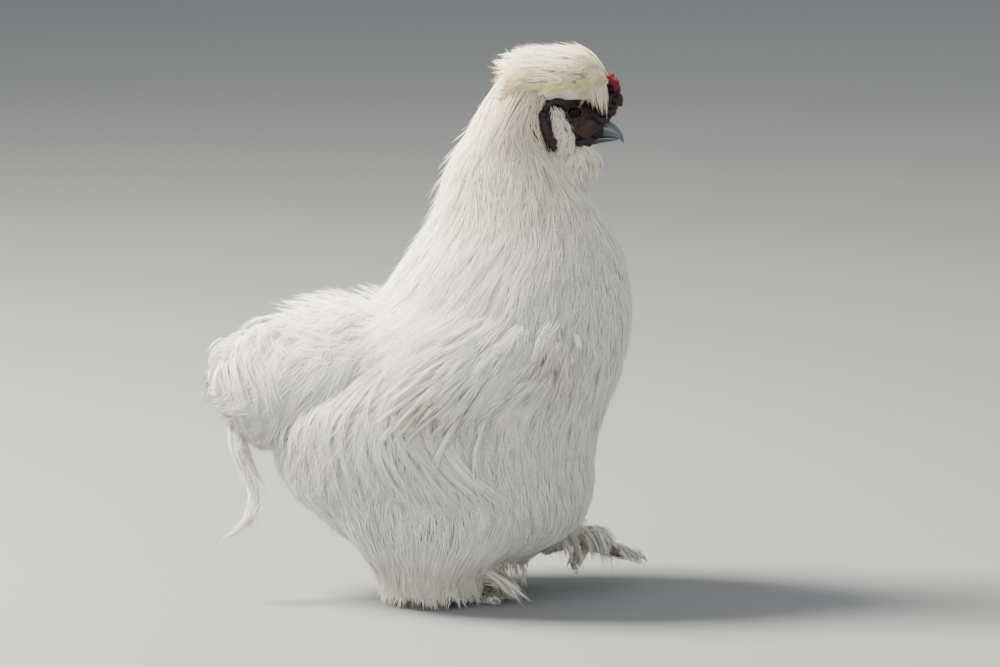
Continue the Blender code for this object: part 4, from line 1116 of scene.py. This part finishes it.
# Saddle and tail
# The cushion of the back is the softest fluff, and stands a little off the back in wisps.
# Longer plumes run off its end and arch down round the tail, with one long loose sickle.
found, points = roots(saddle, np.arange(2, -101, -6.4), 7.2)
found, points = keep(found, points, torso.holds(points, -3), neck.holds(points, -2))
made = plumes(
    bustle, found, 46.0, 6.6, 25, (-5, -1.6, 0.6, 2.4, 4.6), slant=0.42, bow=0.3, frizz=1.4, tone=0.85,
    sway=0.2, loose=1.0,
)
coat_piece("saddle_plumes", made)
found = roots(saddle, np.arange(-4, -92, -8.0), 8.0, 1.3)[0]
wisps = plumes(
    saddle, found, 26.0, 4.0, 9, (-3, 3.0, 7.4, 10.5), strand=0.28, frizz=2.4, tone=0.95, loose=1.4, sway=0.4
)
found, points = roots(bustle, np.arange(-101, -151, -4.9), 6.2)
found, points = keep(found, points, torso.holds(points, -2))
reach = np.clip(-128 - found[:, 0], -40, 0) - 0.4 * np.clip(-128 - found[:, 0], 0, 30)
made = plumes(
    bustle, found, 46.0 + 0.5 * reach, 4.4, 17, (-7, -1.8, 1.2, 3.4, 5.6), slant=1.0, bow=0.6, frizz=1.6,
    tone=0.85, loose=1.8, sway=0.35,
)
# The long sickle and a shorter plume beside it, seen from the side: place and height
SICKLE = (
    (-98, 187), (-116, 180), (-130, 160), (-135, 130), (-131, 102), (-121, 80), (-124, 62), (-137, 50),
    (-150, 43),
)
STREAMS = 60
for side, count in ((-1, 9), (1, 6)):
    line = [(x, side * (8 + 2 * k), z) for k, (x, z) in enumerate(SICKLE[:count])]
    sickle = limb(line, np.interp(np.arange(count) / (count - 1), (0, 0.5, 0.78, 1), (4.6, 4.8, 3.0, 0.6)))
    length = sickle.ends[1]
    for k in range(STREAMS):
        place = (length - 30) * (k + 0.5) / STREAMS
        root = np.array([(place, chance.uniform(-math.pi, math.pi))])
        run = min(length - place, 44.0)
        made += plumes(
            sickle, root, run, 3.4, 14, (-2.0, -0.8, 0.4, 0.6), strand=0.42, frizz=1.5, tone=0.85,
            spread=0.1, sway=0.2, loose=1.0, droop=0.0,
        )
        made += plumes(
            sickle, root, min(run, 24.0), 3.0, 6, (0.0, 1.6, 3.4, 4.4), strand=0.26, frizz=1.8,
            tone=0.95, slant=0.3, spread=0.2, sway=0.3, loose=0.5, droop=0.0,
        )
# Loose tips fringe the underside of the tail
found, points = roots(bustle, np.arange(-96, -150, -5.0), 5.0)
found, points = keep(found, points, np.abs(found[:, 1]) <= 1.5, torso.holds(points, 2))
made += plumes(
    bustle, found, 24.0, 3.6, 12, (-4, 1.2, 5.0, 9.0), slant=0.6, strand=0.34, frizz=1.8, tone=0.9,
    loose=1.6, sway=0.4,
)

# Plumes that leave the end of the tail, arch over and hang down behind it
for side in SIDES.values():
    for k in range(30):
        t = (k + 0.5) / 30
        x, z = -86 - 52 * t, 203 - 24 * t + chance.uniform(-6, 4)
        y = side * (3 + (34 - 18 * t) * chance.uniform(0, 1))
        out, fall = 7 + 5 * chance.uniform(0, 1), 22 + (30 - 18 * t) * chance.uniform(0, 1)
        line = (
            (x, y, z - 2),
            (x - out * 0.9, y * 1.05, z),
            (x - out * 1.7, y * 1.15, z - fall * 0.35),
            (x - out * (1.5 + 0.7 * chance.uniform(0, 1)), y * 1.2, z - fall),
        )
        arch = limb(line, (2.6, 3.0, 2.6, 1.0))
        found = np.column_stack([chance.uniform(0, arch.ends[1] * 0.3, 3), chance.uniform(-3, 3, 3)])
        made += plumes(
            arch, found, arch.ends[1] * 0.6, 3.4, 13, (-1.0, 0.0, 0.3, 0.4), strand=0.34,
            frizz=1.3, tone=0.92, sway=0.15, loose=0.7, window=(0.3, 0.6), droop=0.0,
        )
coat_piece("tail_plumes", made + wisps)


# Wings
# The folded wings show tiers of loose, frayed feathers that fan from back to straight down.
# Each feather is a long plume with many free barbs, stained tan at its worn edges.
SCAPULARS = 190
# A tier's count, its first and last root and their height, its tips and their sag, and its lifts
WING_TIERS = (
    (15, (14, 94, 164), (-12, 88, 120, 158, 4), (-3, 0.8, 2.8, 5.0)),
    (14, (12, 98, 176), (-10, 94, 131, 168, 4), (-3, 2.4, 4.6, 6.8)),
    (13, (14, 102, 188), (-6, 102, 144, 178, 3), (-3, 3.6, 6.0, 8.2)),
    (11, (24, 104, 200), (8, 107, 160, 188, 2), (-3, 4.6, 7.0, 8.6)),
)
# Two white wisps that hang out of each wing
WING_WISPS = (
    (30, 150, 20, 103, (-2, 4.0, 6.2, 7.0), 2.4, 1.1),
    (46, 148, 40, 94, (-2, 4.4, 6.6, 7.4), 2.6, 1.1),
)
for name, side in SIDES.items():
    made, feathers = [], []
    for count, start, end, lifts in WING_TIERS:
        for k in range(count):
            t = min(max((k + chance.uniform(-0.3, 0.3)) / (count - 1), 0), 1)
            sag = 1 - (2 * t - 1) ** 2
            x0, z0 = start[0] + (start[1] - start[0]) * t, start[2] + chance.uniform(-3, 3)
            x1, z1 = end[0] + (end[1] - end[0]) * t, end[2] + (end[3] - end[2]) * t - end[4] * sag
            feathers.append((x0, z0, x1, z1, lifts, 3.0, 0.5))
    for x0, z0, x1, z1, lifts, width, vane in (*feathers, *WING_WISPS):
        here = trunk(np.array(z0), np.array(flank_turn(x0, z0)))
        there = trunk(np.array(z1), np.array(flank_turn(x1, z1)))
        length = float(np.linalg.norm(there - here)) * 1.06
        slant = math.atan2(float(here[0] - there[0]), float(here[2] - there[2]))
        root = np.array([(z0, side * flank_turn(x0, z0))])
        worn = vane < 1
        made += plumes(
            trunk, root, length, width, 64, lifts, slant=slant, bow=-0.05, strand=0.36, vane=vane,
            tone=0.8, soft=0.4, tan=2.8 * worn, spread=0.1, droop=1.0, sway=0.0, worn_edge=worn,
        )
    places = chance.uniform(160, 214, SCAPULARS)
    found = np.column_stack([places, side * flank_turn(chance.uniform(20, 100, SCAPULARS), places)])
    made += plumes(
        trunk, found, 28.0, 5.0, 18, (-2, 5.0, 6.6, 7.6), slant=0.3, frizz=1.4, tone=0.75, tan=0.8, sway=0.4,
        loose=1.0, soft=0.5,
    )
    coat_piece(f"wing_plumes_{name}", made)


# Crest
# The crest rises from the brow and sweeps back in long cream strands, parted into locks.
# Behind, its strands bend down over the nape, and a fringe falls over the brow before each eye.
found, points = roots(hair, np.arange(128, 58, -4.4), 5.0, 2.6)
over_strip = (points[:, 0] > 78) & (points[:, 2] < np.interp(points[:, 0], (78, 92, 104), (364, 364, 366)))
found, points = keep(found, points, over_strip)
ends = 46 + 0.42 * np.clip(points[:, 2] - 360, 0, 40)
length = np.clip(0.84 * (found[:, 0] - ends), 12, 40)
length[(points[:, 0] > 92) & (points[:, 2] < 376)] = 14.0
yellow = 0.66 - 0.5 * np.clip((points[:, 2] - 366) / 24, 0, 1)
nape = np.clip((368 - points[:, 2]) / 14, 0, 1) * np.clip((84 - points[:, 0]) / 20, 0, 1)
made = plumes(
    hair, found, length, 3.4, 25, (-6, -2.2, -0.6, 0.6, 2.6), slant=0.02 + 1.0 * nape, bow=0.05 + 0.4 * nape,
    strand=0.36, frizz=1.4, tone=0.86, cream=yellow, loose=1.5, sway=0.12, spread=0.24,
)
# The strands inside the crest, seen between the tips behind
CORE_INSET = 0.27
core_rows = []
for x, low, high, half in HAIR_ROWS:
    inset = CORE_INSET * (high - low)
    core_rows.append((x, low + inset, high - inset, 0.5 * half))
core = form("x", core_rows)
found, points = roots(core, np.arange(78, 58, -4.0), 4.4)
made += plumes(
    core, found, 17.0 - 0.3 * np.clip(points[:, 2] - 362, 0, 20), 3.2, 14, (-1, 0.6, 1.6, 2.6), strand=0.36,
    frizz=1.4, tone=0.8, cream=0.4, loose=1.4, sway=0.3, slant=0.2, spread=0.25,
)
# Finer strands over them stand out a little and break the crest into locks
found, points = roots(hair, np.arange(118, 60, -6.4), 6.4, 2.0)
found, points = keep(found, points, (points[:, 0] > 78) & (points[:, 2] < 374))
ends = 42 + 0.42 * np.clip(points[:, 2] - 360, 0, 40)
yellow = 0.4 - 0.3 * np.clip((points[:, 2] - 366) / 24, 0, 1)
made += plumes(
    hair, found, np.clip(0.8 * (found[:, 0] - ends), 14, 30), 2.2, 8, (-3, -0.4, 2.0, 5.4), strand=0.3,
    frizz=1.8, tone=0.95, cream=yellow, loose=1.8, sway=0.3, spread=0.3,
)
coat_piece("crest_plumes", made)


def lock(line, radii, found, share, width, barbs, lifts, **look):
    """Plumes from the head of a bent line, as long as a share of it."""
    where = limb(line, radii)
    return plumes(where, found, where.ends[1] * share, width, barbs, lifts, **look)


# The fringe hangs from the brow in thin locks, before each eye
LASHES = 34
made = []
for side in SIDES.values():
    for k in range(LASHES):
        t = (k + chance.uniform(0, 1)) / LASHES
        x = 107.0 + 18.5 * t
        line = (
            (x - 4, side * (17 - 7 * t), 382 - 3 * t),
            (x - 1, side * (25 - 10 * t), 373 - 3 * t),
            (x + 1.5, side * (25 - 10.5 * t), 365 - 6 * t),
            (x + 3, side * (21.5 - 9.5 * t), 361.0 - 13.5 * t + chance.uniform(-1, 1)),
        )
        found = np.column_stack([chance.uniform(0, 6, 4), chance.uniform(-3, 3, 4)])
        made += lock(
            line, (1.0, 2.0, 1.8, 1.0), found, 0.86, 2.6, 18, (-0.5, 0.4, 0.6, 0.5), strand=0.32, frizz=0.9,
            tone=0.9, cream=0.2 - 0.1 * t, window=(0.65, 1),
        )
# Fine tips stand up along the front of the crest, over the comb
for k in range(34):
    t, y = chance.uniform(0, 1), chance.uniform(-12, 12)
    x, z = 98 + 27 * t, 392.5 - 13 * t * t - 0.03 * y * y
    lean = chance.uniform(-7, 1)
    line = (
        (x, y, z - 9),
        (x + 0.5, y, z - 3),
        (x + 0.5 + lean * 0.5, y * 1.1, z + 2),
        (x + lean, y * 1.2, z + 6),
    )
    root = np.array([(0.0, chance.uniform(-3, 3))])
    made += lock(
        line, (0.8, 1.0, 0.8, 0.4), root, 0.85, 2.0, 8, (0.0, 0.2, 0.3, 0.3), strand=0.26, frizz=1.2,
        tone=1.0, window=(0.65, 1),
    )
coat_piece("fringe_plumes", made)


# Beard and cheeks
# Short full plumes round the throat, white tufts over each cheek, and the back of the head.
# The tufts start under a strip of bare dark skin and end on the throat below the wattles.
chin = form("z", BEARD_ROWS + ((333, 103, 117, 11),))
found, points = roots(chin, np.arange(332, 292, -3.4), 4.4)
found, points = keep(found, points, neck.holds(points, -3), skull.holds(points, -4))
made = plumes(
    chin, found, 25.0, 3.6, 15, (-4, -1.4, 0.2, 1.6, 3.0), slant=-0.1, strand=0.34, frizz=1.4, tone=0.8,
    window=(0, 0.3), loose=0.9, sway=0.25, spread=0.3,
)
throat = limb(((90, 0, 328), (93, 0, 318), (96, 0, 306), (98, 0, 294)), (17, 19, 21, 22))
found, points = roots(throat, np.arange(1, 26, 3.6), 4.8)
found, points = keep(found, points, neck.holds(points, -3), skull.holds(points, -2), beard.holds(points, -3))
made += plumes(
    throat, found, 28.0, 4.0, 15, (-3, -0.6, 1.0, 2.4), strand=0.36, frizz=1.3, tone=0.75,
    window=(0.3, 0.45), soft=0.6, loose=0.9, sway=0.2,
)
# Plumes at the back of the head cover the root of the neck
NAPE_ROWS = (
    (318, 23, 90, 35.5), (334, 33, 86, 33.5), (348, 39, 86, 31), (360, 45, 90, 30), (374, 51, 96, 30),
)
nape = form("z", NAPE_ROWS)
found, points = roots(nape, np.arange(376, 334, -4.6), 5.4)
before_ear = points[:, 0] > np.interp(points[:, 2], (340, 350, 358, 366), (78, 80, 84, 96))
found, points = keep(found, points, before_ear)
made += plumes(
    nape, found, 38.0, 4.2, 18, (-6, -1.0, 1.2, 2.4, 3.4), slant=-0.06, bow=0.05, strand=0.36,
    tone=0.8, cream=0.16, window=(0.45, 0.65), sway=0.2, loose=0.8,
)
CHEEK = ((89.5, 17.5, 355), (92.5, 17.5, 347), (95.2, 16.5, 339), (97.0, 15.5, 331), (98.5, 14.0, 322))
for side in SIDES.values():
    tuft = limb(mirrored(CHEEK, side), (4.2, 5.2, 6.4, 7.0, 6.4))
    found, points = roots(tuft, np.arange(0, tuft.ends[1] - 5, 2.2), 2.5)
    found, points = keep(found, points, np.abs(points[:, 1]) < 16)
    made += plumes(
        tuft, found, 12.0, 2.2, 11, (-1.5, 0.6, 1.6, 2.2), slant=0.15, bow=0.15, strand=0.28,
        frizz=1.2, tone=0.95, window=(0.7, 1), loose=0.6, sway=0.3, soft=0.5,
    )
coat_piece("beard_and_cheek_plumes", made)


# Thighs and boots
# Soft fluff runs down the thighs and over the shanks to the toes, right to the ground.
# Short feathers lie over the outer toes, and a tuft hangs from the lifted foot.
LEG_ROWS = (
    (2, -29, 38, 27, -25), (14, -32, 40, 28, -27), (26, -35, 43, 29, -32), (38, -44, 56, 33, -37),
    (54, -55, 72, 38, -40), (72, -66, 84, 43, -41), (92, -74, 90, 46.5, -41),
)
leg = form("z", LEG_ROWS)
found, points = roots(leg, np.arange(92, 13, -4.8), 6.6)
found, points = keep(found, points, torso.holds(points, -5))
made = plumes(
    leg, found, np.clip(found[:, 0] * 0.94, 5, 44), 6.0, 18, (-6, -1.6, 0.6, 2.2), frizz=1.4,
    tone=0.66, window=(0, 0.3), loose=1.0, sway=0.18, spread=0.3,
)
found, points = roots(thighs["left"], np.arange(59, 20, -5.4), 7.0)
found, points = keep(found, points, torso.holds(points, -8))
made += plumes(
    thighs["left"], found, 22.0, 5.6, 22, (-5, -1.6, 0.2, 1.4), frizz=1.3,
    window=(0.35, 0.65),
)
coat_piece("thigh_plumes", made)
shank = limb(SHANK_LEFT, (13.5, 12.5, 10, 8.5))
found = roots(shank, np.arange(1, shank.ends[1] - 1, 3.0), 4.4)[0]
made = plumes(
    shank, found, 25.0, 4.4, 17, (-4, 0.0, 1.6, 2.6), slant=0.75, bow=0.55, strand=0.36,
    frizz=1.3, tone=0.75, window=(0, 0.2),
)
# The tuft that hangs from the lifted shank over the toes
for k in range(96):
    side = (-1, 1)[k % 2]
    t = chance.uniform(0, 1)
    start = np.array((88 + 36 * t, 36 + side * chance.uniform(1, 8), 39 + 3 * t))
    steps = (
        (0, 0, 0),
        (5, side * 6, -1),
        (7 + 5 * t, side * 9, -10 - 2 * t),
        (8 + 6 * t, side * 9, -19 - 5 * t),
    )
    root = np.array([(0.0, chance.uniform(-3, 3))])
    made += lock(
        start + steps, (1.2, 2.2, 2.0, 1.0), root, 0.95, 3.4, 18, (-0.4, 0.3, 0.5, 0.4), strand=0.34,
        tone=0.85, window=(0.2, 0.4),
    )
# The bright spray of boot feathers over the outer toes of the planted foot
for k in range(44):
    r, t = chance.uniform(0, 1, 2)
    start = np.array((34 + 8 * t, -40 + 34 * r, 24 - 8 * t))
    reach = 26 + 10 * chance.uniform(-1, 1)
    steps = (
        (0, 0, 0),
        (0.3 * reach, -2, 1),
        (0.75 * reach, -4 + 4 * r, -8),
        (reach, -5 + 6 * r, -21 + 8 * t),
    )
    line = start + steps
    line[:, 2] = np.maximum(line[:, 2], 1.6)
    root = np.array([(0.0, chance.uniform(-3, 3))])
    made += lock(
        line, (1.4, 2.2, 2.0, 1.0), root, 0.95, 3.2, 20, (-0.4, 0.3, 0.5, 0.3), strand=0.34, tone=0.9,
        window=(0.4, 0.6),
    )
# Short plumes cover each toe over a share of its length
FEATHERED = {"outer": 0.95, "middle": 0.9, "inner": 0.6, "hind": 1.0, "fifth": 1.0}
for (name, toe), (middle, away, level, length) in toe_lines.items():
    line = [tuple(middle + away * length * t + level * 0.4) for t in (0.0, 0.3, 0.6, 0.9)]
    top = limb(line, (4.0, 3.9, 3.4, 2.8))
    found = roots(top, np.arange(0, length * FEATHERED[toe], 2.2), 2.8, 2.0)[0]
    outer = toe == "outer"
    made += plumes(
        top, found, 14.0 if outer else 11.0, 2.8, 10, (-1, 1.2, 2.4, 2.8), bow=0.3, strand=0.32,
        slant=0.6 if outer else 0.25, frizz=1.1, tone=0.8, window=(0.65, 1),
    )
coat_piece("boot_plumes", made)

low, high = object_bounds()
list(low)
list(high)
